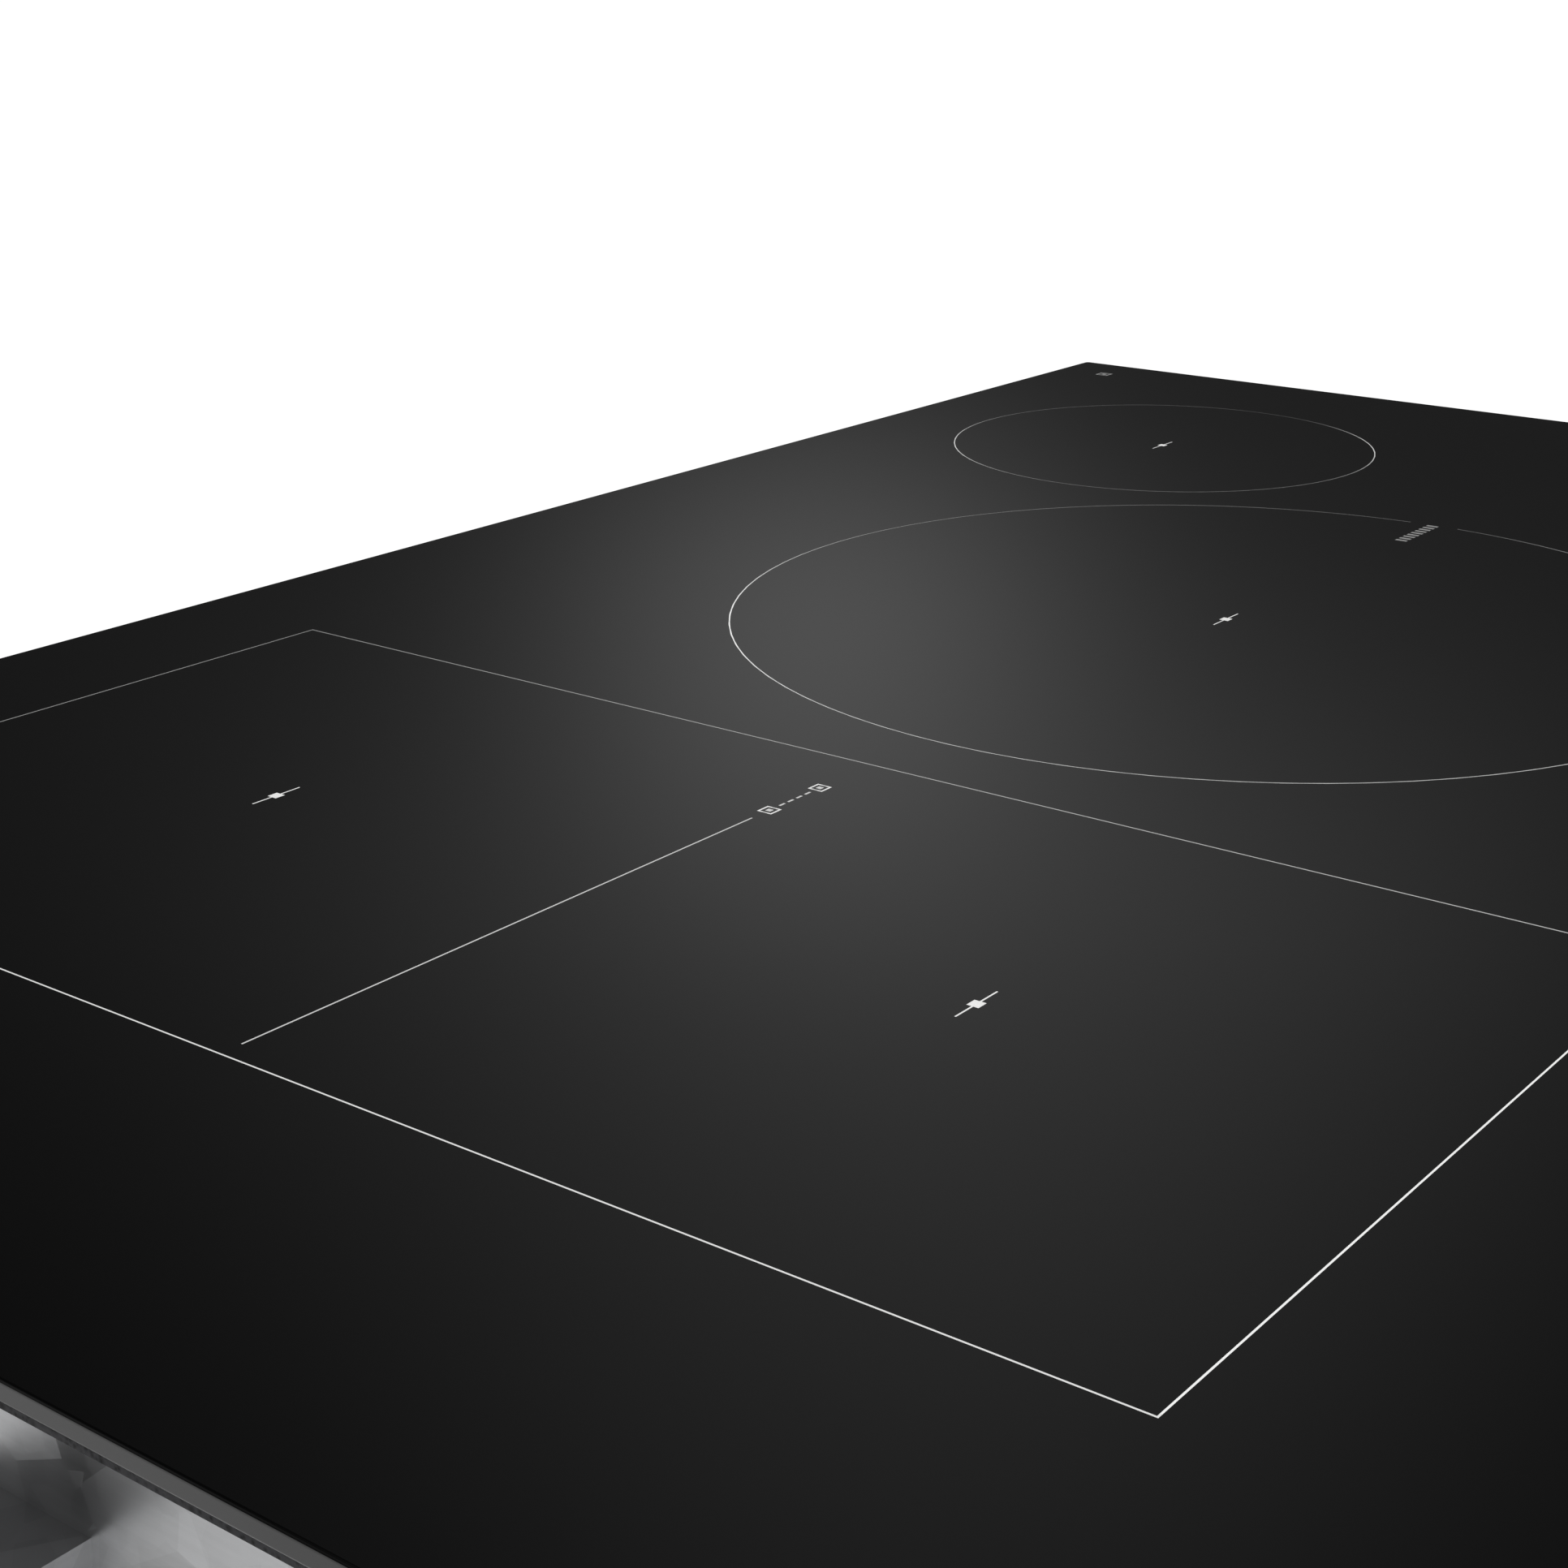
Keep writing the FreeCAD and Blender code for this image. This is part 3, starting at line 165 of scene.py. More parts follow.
def finish_shader(g, shader, **sockets):
    """Puts values or outputs on the shader's sockets, by short names."""
    names = {"base": "Base Color", "rough": "Roughness", "metal": "Metallic", "normal": "Normal",
             "ior": "IOR", "spec": "Specular IOR Level"}
    for key, value in sockets.items():
        g.put(shader.inputs[names[key]], value)


# ------------------------------------------------------------------ materials
def glass_black():
    """Black glass-ceramic: a deep body with faint wipe marks and fine dust on its polish."""
    mat, g, s = material("black_glass")
    wipe = g.noise(9.0, 4.0, 0.6, g.stretched((1.0, 3.2, 1.0)))
    haze = g.remap(wipe, 0.42, 0.72, smooth=True)
    fleck = g.remap(g.voronoi(420.0), 0.0, 0.035, 1.0, 0.0)
    spots = g.remap(g.noise(60.0, 1.0), 0.60, 0.66)
    dust = g.math("MULTIPLY", fleck, spots)
    rough = g.math("ADD", 0.035, g.math("MULTIPLY", haze, 0.02))
    rough = g.math("ADD", rough, g.math("MULTIPLY", dust, 0.15))
    base = g.mix(dust, rgb(0.0004), rgb(0.006))
    wave = g.bump(g.noise(14.0, 1.0), 0.00002, 0.2)
    finish_shader(g, s, base=base, rough=rough, ior=1.5, normal=wave)
    return mat


def ink(name, print_and_shade_of):
    """Fired white enamel with a fine speckle; the tone function says how densely it is printed
    and, on the zone outlines, adds painted light and shade.
    """
    mat, g, s = material(name)
    sep = g.add("SeparateXYZ", {0: g.place()})
    # the tone holds print density and, for the zone outlines, painted light and shade
    tone = print_and_shade_of(g, sep.outputs[0], sep.outputs[1])
    tone = g.math("MULTIPLY", tone, g.remap(g.noise(2600.0, 2.0), 0.3, 0.7, 0.94, 1.04))
    base = g.add("CombineColor", {0: tone, 1: tone, 2: g.math("MULTIPLY", tone, 0.99)})
    finish_shader(g, s, base=base, rough=0.42, spec=0.25)
    return mat


def near(g, value, target, width):
    """1 where value is within width of target."""
    return g.math("LESS_THAN", g.math("ABSOLUTE", g.math("SUBTRACT", value, target)), width)


def pick(g, test, yes, no):
    """yes where test is 1, otherwise no."""
    return g.remap(test, 0.0, 1.0, no, yes)


FLEX_HALF = (0.100, 0.1908)     # half sizes of the bridged outline
LINE = 0.001                    # a point this near to the middle of the outline's line is on it
DIVIDER = 0.0006                # the same for the line that divides the outline
RING_LINE = 0.0008              # the same for a ring
LARGE_R, SMALL_R = 0.1399, 0.0762
MARK_R = 0.012                  # the centre mark lies inside this radius
AHEAD = (0.795, 0.607)          # direction towards the back right corner
FALL_OFF = 8.0                  # how sharply a ring's tone changes round it
PLAIN_TONE = 0.70               # print density of the controls


def even_tone(g, x, y):
    """The same density all over."""
    return PLAIN_TONE


def flex_print_and_shade(g, x, y):
    """Near lines bright, the divider a little dimmer, the far side dim: partly print density,
    partly painted shade that dims the lines towards the back.
    """
    (cx, cy), (hw, hd) = FLEX, FLEX_HALF
    # painted shade: each line's tone is set by where it lies, dimmer towards the back
    tone = pick(g, near(g, y, cy, DIVIDER), 0.54, 0.72)
    tone = pick(g, near(g, y, cy - hd, LINE), 0.76, tone)
    tone = pick(g, near(g, x, cx - hw, LINE), 0.64, tone)
    tone = pick(g, near(g, x, cx + hw, LINE), g.remap(y, -0.15, 0.22, 0.45, 0.28), tone)
    return pick(g, near(g, y, cy + hd, LINE), 0.26, tone)


def ring_print_and_shade(centre, r, middle, slope, side, dip, dip_at, mark, sign):
    """Tone of a ring of radius r, of the centre mark in it and of the sign beside it.

    The ring's tone is middle, changing by slope along AHEAD. It gains side across that line and
    loses dip in the direction dip_at, in degrees. These changes round the ring are painted
    light and shade laid over the print's own density.
    """
    ux, uy = math.cos(math.radians(dip_at)), math.sin(math.radians(dip_at))

    def print_and_shade_of(g, x, y):
        dx, dy = g.math("SUBTRACT", x, centre[0]), g.math("SUBTRACT", y, centre[1])
        d = g.hypot(dx, dy)
        ahead = g.math("ADD", g.math("MULTIPLY", dx, AHEAD[0]), g.math("MULTIPLY", dy, AHEAD[1]))
        across = g.math("SUBTRACT", g.math("MULTIPLY", dx, AHEAD[1]),
                        g.math("MULTIPLY", dy, AHEAD[0]))
        ahead = g.math("DIVIDE", ahead, r)
        across = g.math("ABSOLUTE", g.math("DIVIDE", across, r))
        # painted light and shade: the ring dims towards the back, brightens at its sides, dips one
        # way
        tone = g.math("ADD", middle, g.math("MULTIPLY", ahead, slope))
        tone = g.math("ADD", tone, g.math("MULTIPLY", side, g.math("POWER", across, FALL_OFF)))
        turned = g.math("ADD", g.math("MULTIPLY", dx, ux), g.math("MULTIPLY", dy, uy))
        turned = g.math("MAXIMUM", g.math("DIVIDE", turned, r), 0.0)
        tone = g.math("SUBTRACT", tone, g.math("MULTIPLY", dip, g.math("POWER", turned, FALL_OFF)))
        tone = g.math("MAXIMUM", tone, 0.05)
        inner = pick(g, g.math("LESS_THAN", d, MARK_R), mark, sign)
        return pick(g, near(g, d, r, RING_LINE), tone, inner)
    return print_and_shade_of


def galvanised():
    """Hot-dip zinc: crystal spangle, rolling streaks and small handling scratches."""
    mat, g, s = material("galvanised_steel")
    tone, scale = 0.52, 55.0
    cell = g.voronoi(scale, out="Color")
    fine = g.voronoi(scale * 2.7, out="Color")
    a = g.add("SeparateColor", {0: cell}).outputs[0]
    b = g.add("SeparateColor", {0: fine}).outputs[1]
    spangle = g.math("ADD", g.math("MULTIPLY", a, 0.65), g.math("MULTIPLY", b, 0.35))
    streak = g.noise(40.0, 4.0, 0.6, g.stretched((1.0, 1.0, 14.0)))
    scratch = g.remap(g.voronoi(30.0, "DISTANCE_TO_EDGE", g.stretched((1.0, 7.0, 1.0))),
                      0.0, 0.006, 1.0, 0.0)
    scratch = g.math("MULTIPLY", scratch, g.remap(g.noise(18.0), 0.55, 0.68))
    light = g.math("ADD", tone - 0.07, g.math("MULTIPLY", spangle, 0.13))
    light = g.math("ADD", light, g.math("MULTIPLY", g.math("SUBTRACT", streak, 0.5), 0.10))
    light = g.math("ADD", light, g.math("MULTIPLY", scratch, 0.10))
    base = g.add("CombineColor", {0: light, 1: g.math("MULTIPLY", light, 1.008),
                                  2: g.math("MULTIPLY", light, 1.025)})
    rough = g.remap(spangle, 0.0, 1.0, 0.30, 0.48)
    bump = g.bump(g.math("ADD", spangle, g.math("MULTIPLY", scratch, -0.6)), 0.00006, 0.35)
    finish_shader(g, s, base=base, metal=1.0, rough=rough, normal=bump)
    return mat


def metal(name, colour, rough, brushed=(1.0, 1.0, 1.0), grain=600.0, depth=0.00002, wear=0.5):
    """Metal with directional grain, mottling and dull patches."""
    mat, g, s = material(name)
    line = g.noise(grain, 3.0, 0.6, g.stretched(brushed))
    patch = g.noise(22.0, 4.0, 0.6)
    factor = g.math("ADD", g.math("MULTIPLY", line, 0.5), g.math("MULTIPLY", patch, 0.5))
    base = g.mix(g.remap(factor, 0.35, 0.65), darker(colour, 0.28 * wear), colour)
    finish_shader(g, s, base=base, metal=1.0, rough=g.remap(factor, 0.3, 0.7, rough * 1.35, rough),
                  normal=g.bump(line, depth, 0.5))
    return mat


def plastic(name, colour, rough=0.5, grain=900.0, depth=0.00003, spread=0.15, spec=0.5):
    """Moulded plastic with spark-eroded texture."""
    mat, g, s = material(name)
    fine = g.noise(grain, 2.0)
    broad = g.noise(12.0, 3.0)
    base = g.mix(g.remap(g.math("ADD", fine, broad), 0.75, 1.25), darker(colour, spread), colour)
    finish_shader(g, s, base=base, rough=g.remap(broad, 0.3, 0.7, rough * 0.9, rough * 1.1),
                  normal=g.bump(fine, depth, 0.6), spec=spec)
    return mat


def foam():
    """Closed-cell foam tape: open pores on cut faces, slightly dusty."""
    mat, g, s = material("black_foam")
    pore = g.voronoi(900.0)
    big = g.voronoi(380.0)
    height = g.math("MINIMUM", pore, g.math("MULTIPLY", big, 1.4))
    base = g.mix(g.remap(height, 0.0, 0.5), rgb(0.006), rgb(0.032, 0.032, 0.034))
    base = g.mix(g.remap(g.noise(30.0), 0.55, 0.8, 0.0, 0.25), base, rgb(0.07))
    finish_shader(g, s, base=base, rough=0.92, normal=g.bump(height, 0.0003, 0.8), spec=0.2)
    return mat


def winding(name, centre, fold=0.0):
    """Litz wire: fine strands that slant round each turn.

    With a fold, centre is the middle of a pair of coils that lie that far to its front and back.
    """
    mat, g, s = material(name)
    at = g.add("SeparateXYZ", {0: g.place()})
    dx = g.math("SUBTRACT", at.outputs[0], centre[0])
    dy = g.math("SUBTRACT", at.outputs[1], centre[1])
    if fold:
        dy = g.math("SUBTRACT", g.math("ABSOLUTE", dy), fold)
    d = g.hypot(dx, dy)
    arc = g.math("MULTIPLY", d, g.math("ARCTAN2", dy, dx))
    phase = g.math("ADD", g.math("DIVIDE", d, 0.0012), g.math("DIVIDE", arc, 0.0030))
    strand = g.math("PINGPONG", phase, 0.5)
    shade = g.math("ADD", strand, g.math("MULTIPLY", g.noise(180.0, 3.0), 0.5))
    base = g.mix(g.remap(shade, 0.2, 0.75), rgb(0.22, 0.07, 0.025), rgb(0.78, 0.36, 0.17))
    finish_shader(g, s, base=base, metal=1.0, rough=0.34, normal=g.bump(strand, 0.0003, 0.7))
    return mat


def fibre(name, light, dark, scale=300.0):
    """Fibrous or sintered sheet."""
    mat, g, s = material(name)
    web = g.noise(scale, 5.0, 0.7)
    fleck = g.voronoi(scale * 1.5)
    base = g.mix(g.remap(web, 0.35, 0.65), dark, light)
    finish_shader(g, s, base=base, rough=0.88,
                  normal=g.bump(g.math("ADD", web, fleck), 0.0001, 0.5))
    return mat


def board():
    """Solder-masked circuit board: copper tracks under the mask, pads and a dull weave."""
    mat, g, s = material("board_green")
    cells = g.voronoi(110.0, at=g.vmath("SNAP", g.place(), (0.0016, 0.0016, 1.0)))
    track = g.remap(g.math("FRACT", g.math("MULTIPLY", cells, 5.0)), 0.45, 0.5)
    pad = g.remap(g.voronoi(140.0), 0.10, 0.13, 1.0, 0.0)
    pad = g.math("MULTIPLY", pad, g.remap(g.noise(35.0), 0.5, 0.54))
    base = g.mix(track, rgb(0.012, 0.085, 0.035), rgb(0.022, 0.16, 0.06))
    base = g.mix(pad, base, rgb(0.62, 0.60, 0.55))
    weave = g.noise(1800.0, 1.0)
    height = g.math("ADD", track, g.math("MULTIPLY", weave, 0.3))
    finish_shader(g, s, base=base, rough=0.34, metal=g.math("MULTIPLY", pad, 0.9),
                  normal=g.bump(height, 0.00004, 0.6))
    return mat


def label():
    """Blank foil plate with a pale printed field and ruled lines, without lettering."""
    half_w, half_h, middle_z = 0.0375, 0.0145, 0.035
    rows_per_metre, rule_share = 206.0, 0.07
    column_x, column_half = 0.004, 0.00018
    mat, g, s = material("label_foil")
    at = g.add("SeparateXYZ", {0: g.place()})
    x, z = at.outputs[0], at.outputs[2]
    inside = g.math("MULTIPLY", near(g, x, 0.0, half_w), near(g, z, middle_z, half_h))
    up = g.math("SUBTRACT", z, middle_z - half_h)
    row = g.math("FRACT", g.math("MULTIPLY", up, rows_per_metre))
    rule = g.math("MAXIMUM", g.math("LESS_THAN", row, rule_share),
                  near(g, x, column_x, column_half))
    brushed = g.noise(500.0, 3.0, 0.6, g.stretched((0.05, 1.0, 1.0)))
    base = g.mix(inside, rgb(0.10), rgb(0.66, 0.665, 0.67))
    base = g.mix(g.math("MULTIPLY", rule, inside), base, rgb(0.06))
    base = g.mix(g.remap(brushed, 0.3, 0.7, 0.0, 0.2), base, rgb(0.30))
    finish_shader(g, s, base=base, metal=0.35, rough=0.42, normal=g.bump(brushed, 0.00001, 0.4))
    return mat


def sleeve(name, colour, pitch=900.0):
    """Braided wire sleeve."""
    mat, g, s = material(name)
    braid = g.voronoi(pitch, at=g.stretched((1.0, 1.0, 0.5)))
    base = g.mix(g.remap(braid, 0.0, 0.6), darker(colour, 0.4), colour)
    finish_shader(g, s, base=base, rough=0.62, normal=g.bump(braid, 0.0002, 0.5))
    return mat


FLEX_FOLD = 0.0954              # from the middle of the bridged pair to the middle of each coil
MATERIALS = {                   # by the material slot of the record
    "black_glass": glass_black(),
    "fired_ink": ink("fired_ink", even_tone),
    "galvanised_steel": galvanised(),
    "zinc_screw": metal("zinc_screw", rgb(0.66, 0.66, 0.62), 0.26, wear=0.8),
    "black_silicone": plastic("black_silicone", rgb(0.012), 0.38, 300.0, 0.00006),
    "black_foam": foam(),
    "label_foil": label(),
    "zinc_casting": metal("zinc_casting", rgb(0.50, 0.51, 0.52), 0.42, grain=260.0, depth=0.00008),
    "beige_plastic": plastic("beige_plastic", rgb(0.66, 0.60, 0.48), 0.45),
    "insulation_sheet": fibre("insulation_sheet", rgb(0.70, 0.66, 0.57), rgb(0.52, 0.48, 0.40)),
    "copper_litz": winding("copper_litz", (0.0, 0.0)),
    "grey_moulding": plastic("grey_moulding", rgb(0.085, 0.086, 0.09), 0.5),
    "ferrite": fibre("ferrite", rgb(0.075), rgb(0.035), 700.0),
    "aluminium_sheet": metal("aluminium_sheet", rgb(0.74, 0.75, 0.76), 0.34, (1.0, 12.0, 1.0)),
    "white_ceramic": fibre("white_ceramic", rgb(0.82, 0.81, 0.78), rgb(0.72, 0.70, 0.66), 900.0),
    "spring_steel": metal("spring_steel", rgb(0.46, 0.46, 0.47), 0.25, (1.0, 1.0, 8.0)),
    "lead_sleeve": sleeve("lead_sleeve", rgb(0.60, 0.52, 0.34)),
    "black_plastic": plastic("black_plastic", rgb(0.018, 0.018, 0.019), 0.46),
    "motor_can": metal("motor_can", rgb(0.30, 0.30, 0.32), 0.38, (1.0, 1.0, 10.0)),
    "board_green": board(),
    "extruded_aluminium": metal("extruded_aluminium", rgb(0.70, 0.71, 0.72), 0.3, (1.0, 0.04, 1.0)),
    "film_case": plastic("film_case", rgb(0.62, 0.62, 0.60), 0.28, 500.0, 0.00001),
    "display_block": plastic("display_block", rgb(0.12, 0.02, 0.02), 0.2, 500.0, 0.00001),
    "wire_sleeve": sleeve("wire_sleeve", rgb(0.50, 0.05, 0.04), 500.0),
}

BY_NODE = {                     # nodes whose look depends on where they are
    # the zone prints carry painted light and shade in their ink tone
    "flex_zone_print": ink("fired_ink_flex_painted_shade", flex_print_and_shade),
    "large_zone_print": ink("fired_ink_large_painted_shade", ring_print_and_shade(
        LARGE, LARGE_R, middle=0.345, slope=-0.145, side=0.50, dip=0.12, dip_at=-14.0,
        mark=0.70, sign=0.24)),
    "small_zone_print": ink("fired_ink_small_painted_shade", ring_print_and_shade(
        SMALL, SMALL_R, middle=0.158, slope=-0.03, side=0.48, dip=0.13, dip_at=-26.0,
        mark=0.72, sign=0.30)),
    "flex_windings": winding("copper_litz_flex", FLEX, FLEX_FOLD),
    "large_windings": winding("copper_litz_large", LARGE),
    "small_windings": winding("copper_litz_small", SMALL),
}

for part in frame["record"]["subparts"]:
    thing = NODES[part["node"]]
    thing.data.materials.clear()
    thing.data.materials.append(BY_NODE.get(part["node"]) or MATERIALS[part["material_slot"]])


def new_object(name, data):
    """An object of the scene that shows this mesh, light or camera."""
    obj = bpy.data.objects.new(name, data)
    bpy.context.scene.collection.objects.link(obj)
    return obj


def mesh_of(bm, name, look):
    """Mesh made from a bmesh, which is then freed."""
    mesh = bpy.data.meshes.new(name)
    bm.to_mesh(mesh)
    bm.free()
    mesh.materials.append(look)
    return mesh


def skin(bm, rings):
    """Smooth quads between each ring of vertices and the next."""
    for under, over in zip(rings, rings[1:]):
        for k in range(len(under)):
            n = (k + 1) % len(under)
            bm.faces.new((under[k], under[n], over[n], over[k])).smooth = True


# ------------------------------------------------------------------ springs and coil leads
ANCHORS = {"springs": 0.060, "leads": 0.0096}       # height of their lower ends


def follow_carrier(coil, kind):
    """The springs or leads of a coil as a copy of their CAD mesh, held by the cooktop body."""
    node = coil + "_" + kind
    piece = new_object(node + "_soft", NODES[node].data.copy())
    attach(piece, "cooktop_body")
    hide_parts(node)
    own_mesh(piece)


for coil in ("flex", "large", "small"):
    for kind in ANCHORS:
        follow_carrier(coil, kind)


# ------------------------------------------------------------------ windings
Coil = namedtuple("Coil", "x y half_w half_d corner core")
CORES = {"flex": 0.026, "large": 0.030, "small": 0.026}     # radius of the hole in a winding
FLEX_CORNER = 0.0596
STEPS_PER_TURN, WIRE_SIDES = 64, 8
WIRE_SHARE = 0.49               # the wire's half width, as a share of its height
TINY = 1e-9


def coils_of(zone):
    """Two rounded squares in the bridged zone, otherwise one round coil."""
    low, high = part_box(zone + "_windings")
    x, y = (low[0] + high[0]) / 2, (low[1] + high[1]) / 2
    half_w, half_d = (high[0] - low[0]) / 2, (high[1] - low[1]) / 2
    if zone == "flex":
        half_d -= FLEX_FOLD
        return [Coil(x, y + side * FLEX_FOLD, half_w, half_d, FLEX_CORNER, CORES[zone])
                for side in (1, -1)]
    return [Coil(x, y, half_w, half_d, half_w, CORES[zone])]


def reach(coil, a):
    """Distance from the middle of a coil to its rounded outline, in direction a."""
    c, s = abs(math.cos(a)), abs(math.sin(a))
    kx, ky = coil.half_w - coil.corner, coil.half_d - coil.corner
    if c > TINY and coil.half_w / c * s <= ky:
        return coil.half_w / c
    if s > TINY and coil.half_d / s * c <= kx:
        return coil.half_d / s
    b = c * kx + s * ky
    return b + math.sqrt(b * b - kx * kx - ky * ky + coil.corner * coil.corner)


def wind(bm, coil, z0, z1):
    """One flat spiral of litz wire from the core out to the rim, between two heights."""
    wire = z1 - z0
    steps = STEPS_PER_TURN * int((min(coil.half_w, coil.half_d) - coil.core - wire) / wire)
    path = []
    for i in range(steps + 1):
        a = 2 * math.pi * i / STEPS_PER_TURN
        room = reach(coil, a) - coil.core - wire
        r = coil.core + wire / 2 + room * i / steps
        path.append((r * math.cos(a), r * math.sin(a)))
    rings = []
    for i, (x, y) in enumerate(path):
        x0, y0 = path[max(i - 1, 0)]
        x1, y1 = path[min(i + 1, steps)]
        length = math.hypot(x1 - x0, y1 - y0)
        nx, ny = (y1 - y0) / length, (x0 - x1) / length
        ring = []
        for k in range(WIRE_SIDES):
            b = 2 * math.pi * (k + 0.5) / WIRE_SIDES
            out = WIRE_SHARE * wire * math.cos(b)
            up = wire / 2 * math.sin(b) / math.cos(math.pi / WIRE_SIDES)
            ring.append(bm.verts.new((coil.x + x + nx * out, coil.y + y + ny * out,
                                      (z0 + z1) / 2 + up)))
        rings.append(ring)
    skin(bm, rings)
    bm.faces.new(reversed(rings[0]))
    bm.faces.new(rings[-1])


def make_winding(zone):
    """Spirals of litz wire where the CAD has solid discs."""
    node = zone + "_windings"
    low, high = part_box(node)
    bm = bmesh.new()
    for coil in coils_of(zone):
        wind(bm, coil, low[2], high[2])
    bmesh.ops.recalc_face_normals(bm, faces=bm.faces)
    piece = new_object(node + "_litz", mesh_of(bm, node + "_litz", BY_NODE[node]))
    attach(piece, zone + "_carrier")
    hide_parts(node)


for zone in CORES:
    make_winding(zone)


# ------------------------------------------------------------------ clamp screws
PITCH, THREAD_DEPTH = 0.001, 0.00052
CREST, FLANK = 0.125, 0.625     # half of the crest and one flank, as shares of half a pitch
RUN_OUT = 0.0012                # length over which the thread fades at each end
ROD_HEIGHT = 0.02               # only the rod's own faces are taller than this
AROUND, PER_TURN = 24, 10       # points around the rod, rings to a turn


def thread_radius(rod_r, turn, from_end):
    """Radius of a 60 degree thread at a fraction of a turn, running out near the rod's ends."""
    flank = min(max((abs(2 * (turn % 1.0) - 1) - CREST) / FLANK, 0.0), 1.0)
    fade = min(max(from_end / RUN_OUT, 0.0), 1.0)
    return rod_r - THREAD_DEPTH * flank * fade


def cut_thread(side):
    """The clamp screw with a rolled right-hand thread where the CAD has a plain rod."""
    node = "clamp_screw_" + side
    low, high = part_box(node)
    cx, cy = (low[0] + high[0]) / 2, (low[1] + high[1]) / 2
    bm = bmesh.new()
    bm.from_mesh(NODES[node].data)
    walls = [f for f in bm.faces
             if max(v.co.z for v in f.verts) - min(v.co.z for v in f.verts) > ROD_HEIGHT]
    z0 = min(v.co.z for f in walls for v in f.verts)
    z1 = max(v.co.z for f in walls for v in f.verts)
    rod_r = max(math.hypot(v.co.x - cx, v.co.y - cy) for f in walls for v in f.verts)
    bmesh.ops.delete(bm, geom=walls, context="FACES")
    for face in bm.faces:
        face.smooth = False
    rings = []
    count = round((z1 - z0) / PITCH * PER_TURN)
    for i in range(count + 1):
        z = z0 + (z1 - z0) * i / count
        ring = []
        for k in range(AROUND):
            turn = k / AROUND
            r = thread_radius(rod_r, (z - z0) / PITCH - turn, min(z - z0, z1 - z))
            a = 2 * math.pi * turn
            ring.append(bm.verts.new((cx + r * math.cos(a), cy + r * math.sin(a), z)))
        rings.append(ring)
    skin(bm, rings)
    piece = new_object(node + "_threaded",
                       mesh_of(bm, node + "_threaded", MATERIALS["zinc_screw"]))
    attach(piece, "clamp_screw_body_" + side)
    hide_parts(node)


for side in ("left", "right"):
    cut_thread(side)


# ------------------------------------------------------------------ floor
FLOOR_HALF = 60.0
FLOOR_Z = -0.0006               # just under the cooktop, so that the two don't share a plane
BODY_HALF = (0.36, 0.245)       # the floor is lit softly around this rectangle
SOFT_FROM, SOFT_TO = 0.04, 0.36         # pure white sets in between these distances from it


def make_floor():
    """White sweep: lit softly near the cooktop, pure white further out."""
    r, z = FLOOR_HALF, FLOOR_Z
    mesh = bpy.data.meshes.new("floor")
    mesh.from_pydata([(-r, -r, z), (r, -r, z), (r, r, z), (-r, r, z)], [], [(0, 1, 2, 3)])
    obj = new_object("floor", mesh)
    mat = bpy.data.materials.new("floor_white")
    mat.use_nodes = True
    g = Graph(mat.node_tree)
    at = g.add("SeparateXYZ", {0: g.add("NewGeometry").outputs["Position"]})
    dx, dy = (g.math("MAXIMUM", g.math("SUBTRACT", g.math("ABSOLUTE", at.outputs[i]), half), 0.0)
              for i, half in enumerate(BODY_HALF))
    far = g.remap(g.hypot(dx, dy), SOFT_FROM, SOFT_TO, smooth=True)
    grain = g.remap(g.noise(40.0, 3.0), 0.3, 0.7, 0.90, 0.93)
    soft = g.add("BsdfDiffuse", {"Color": grain})
    white = g.add("Emission", {"Color": rgb(1.0), "Strength": 1.06})
    mix = g.add("MixShader", {0: far, 1: soft, 2: white})
    g.put(g.add("OutputMaterial").inputs["Surface"], mix)
    mesh.materials.append(mat)


make_floor()


# ------------------------------------------------------------------ world and lights
FACING = 36.0                   # the glows repeat in four quarters, one of them centred here
BASE_LIGHT = 0.029              # dimmest part of what the glass mirrors
GLOWS = (                       # in degrees, apart from peak
    {"peak": 0.229, "az0": 36.64, "az_width": 4.03, "el0": 16.24, "below": 3.19, "above": 4.25},
    {"peak": 0.225, "az0": 33.2, "az_width": 10.3, "el0": 23.2, "below": 5.03, "above": 14.5},
)


def glow(g, az, el, peak, az0, az_width, el0, below, above):
    """Soft bump of light around a direction, wider above than below."""
    side = g.remap(g.math("SUBTRACT", el, el0), -1.2, 1.2, smooth=True)
    width = g.math("ADD", below, g.math("MULTIPLY", side, above - below))
    u = g.math("DIVIDE", g.math("SUBTRACT", az, az0), az_width)
    v = g.math("DIVIDE", g.math("SUBTRACT", el, el0), width)
    d = g.math("ADD", g.math("MULTIPLY", u, u), g.math("MULTIPLY", v, v))
    return g.math("MULTIPLY", peak, g.math("EXPONENT", g.math("MULTIPLY", d, -0.5)))


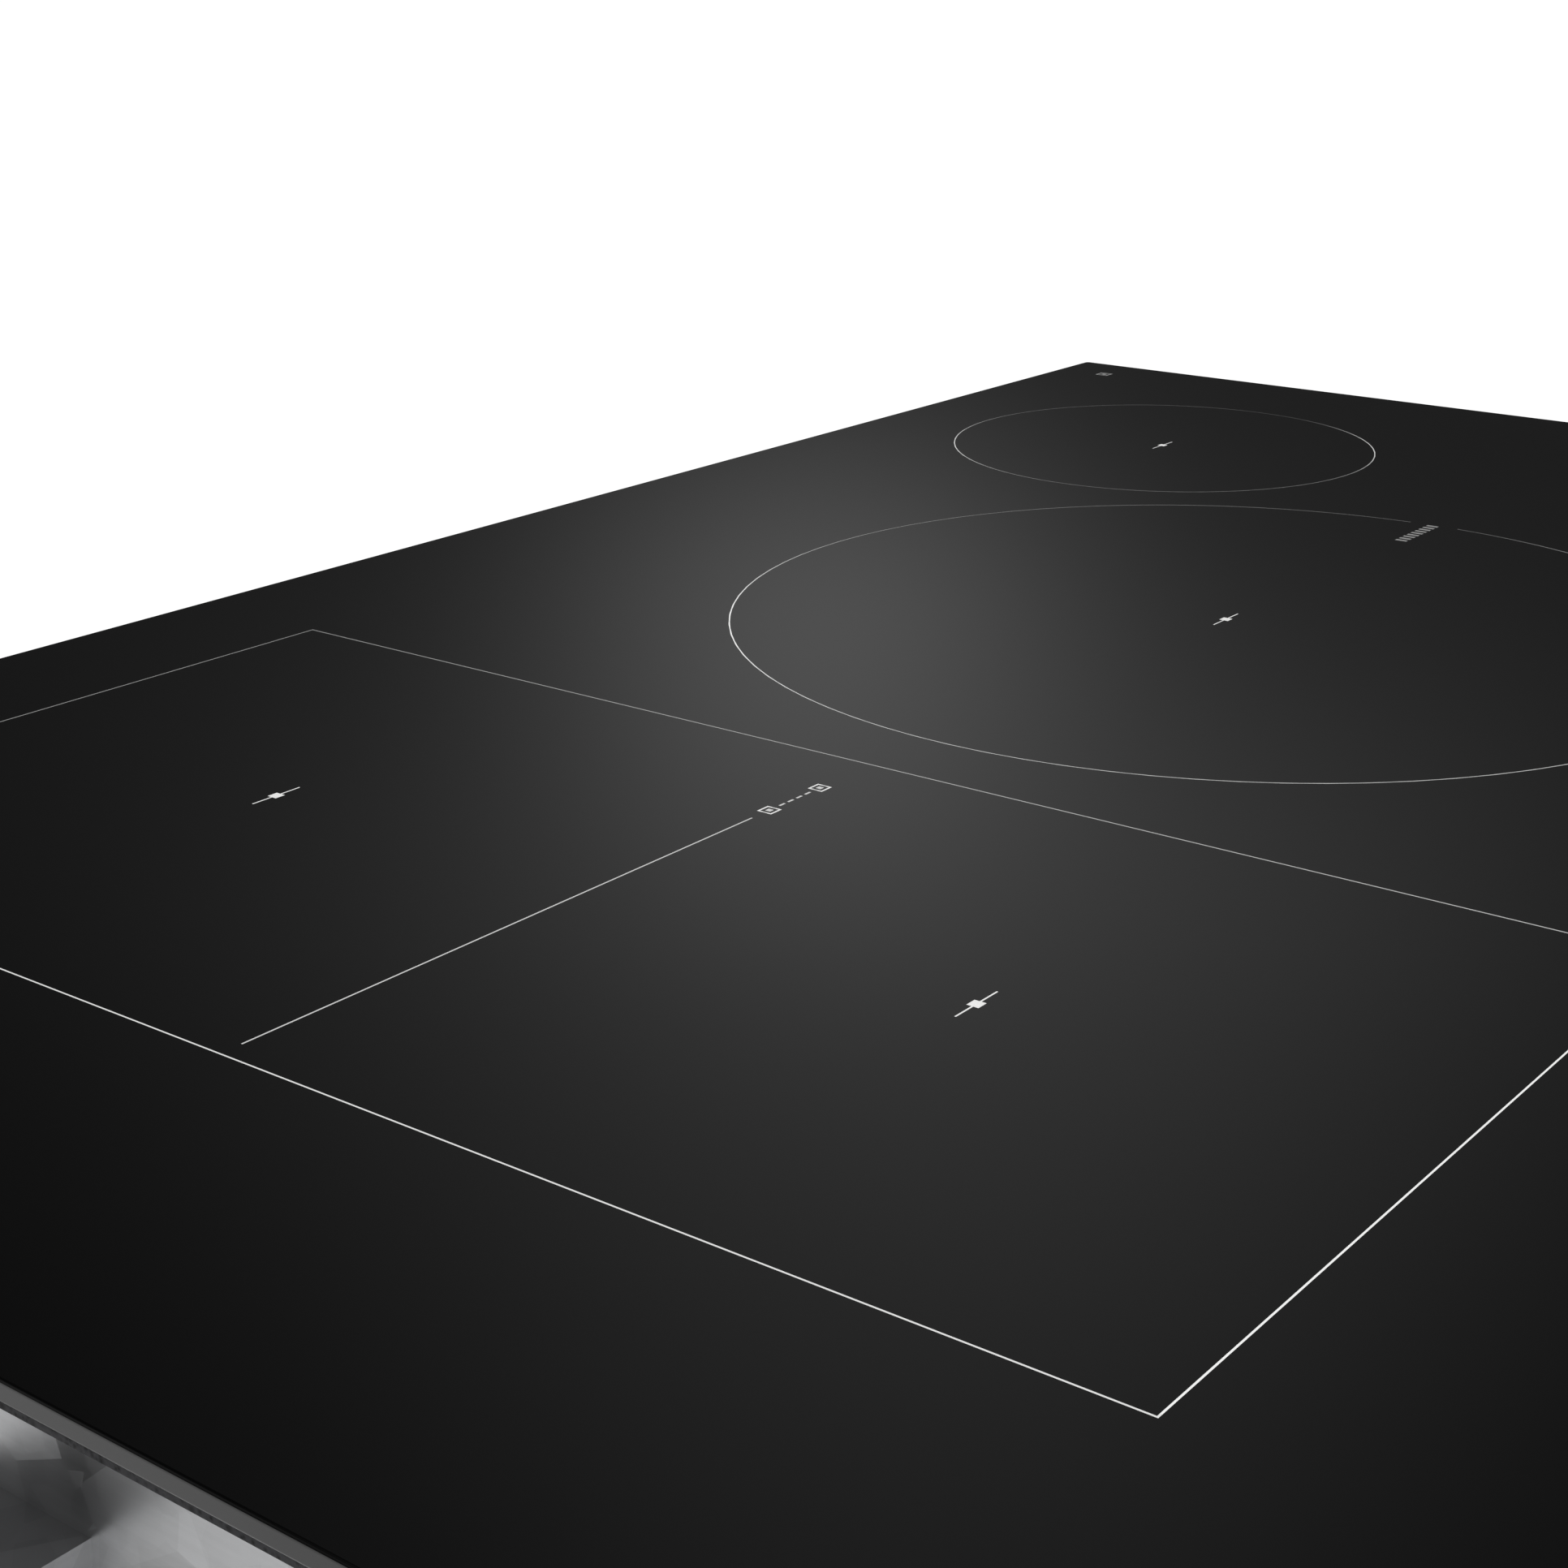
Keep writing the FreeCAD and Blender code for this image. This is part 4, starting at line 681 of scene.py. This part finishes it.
def make_world():
    """Bright surround for soft light; what mirrors in the glass is a dim studio with soft glows."""
    world = bpy.data.worlds.new("studio")
    bpy.context.scene.world = world
    world.use_nodes = True
    g = Graph(world.node_tree)
    at = g.add("SeparateXYZ", {0: g.add("TexCoord").outputs["Generated"]})
    x, y, z = at.outputs
    az = g.math("MULTIPLY", g.math("ARCTAN2", y, x), 180 / math.pi)
    az = g.math("WRAP", g.math("SUBTRACT", az, FACING), 45.0, -45.0)
    az = g.math("ADD", az, FACING)
    el = g.math("MULTIPLY", g.math("ARCSINE", z), 180 / math.pi)
    light = BASE_LIGHT
    for one in GLOWS:
        light = g.math("ADD", light, glow(g, az, el, **one))
    horizon = g.remap(el, 1.5, 8.5, 0.85, 0.0, smooth=True)
    overhead = g.remap(el, 44.0, 85.0, 0.0, 0.80, smooth=True)
    light = g.math("MAXIMUM", g.math("MAXIMUM", light, horizon), overhead)
    mirror = g.add("Background", {"Color": rgb(1.0), "Strength": light})
    plain = g.add("Background", {"Color": rgb(1.0), "Strength": 1.0})
    seen = g.add("LightPath").outputs["Is Glossy Ray"]
    mix = g.add("MixShader", {0: seen, 1: plain, 2: mirror})
    g.put(g.add("OutputWorld").inputs["Surface"], mix)


make_world()


def area(name, place, aim, size, power):
    """Rectangular lamp that lights the object but is never seen, even in the glass."""
    data = bpy.data.lights.new(name, "AREA")
    data.shape = "RECTANGLE"
    data.size, data.size_y = size
    data.energy = power
    obj = new_object(name, data)
    obj.location = place
    obj.rotation_euler = (Vector(aim) - Vector(place)).to_track_quat("-Z", "Y").to_euler()
    obj.visible_glossy = False
    obj.visible_camera = False


area("key", (-1.3, -1.6, 1.5), (0, 0, 0.03), (1.2, 0.8), 18.0)
area("fill", (1.8, 0.6, 0.9), (0, 0, 0.03), (1.0, 0.6), 6.0)


# ------------------------------------------------------------------ camera
LENS = 59.87                    # millimetres, on a sensor 36 mm wide
CAMERA_AT = (-0.5755, -0.3039, TOP + 0.1994)
LOOK_DOWN, LOOK_RIGHT = 19.333, 52.645          # degrees, from level and from +Y


def make_camera():
    """Low view across the glass from the front left, towards the back right corner."""
    scene = bpy.context.scene
    scene.view_settings.view_transform = "Standard"
    scene.view_settings.look = "None"
    data = bpy.data.cameras.new("camera")
    data.sensor_width = 36.0
    data.lens = LENS
    data.clip_start = 0.01
    data.clip_end = 200.0
    scene.camera = new_object("camera", data)
    scene.camera.location = CAMERA_AT
    scene.camera.rotation_euler = (math.radians(90 - LOOK_DOWN), 0.0, math.radians(-LOOK_RIGHT))


make_camera()
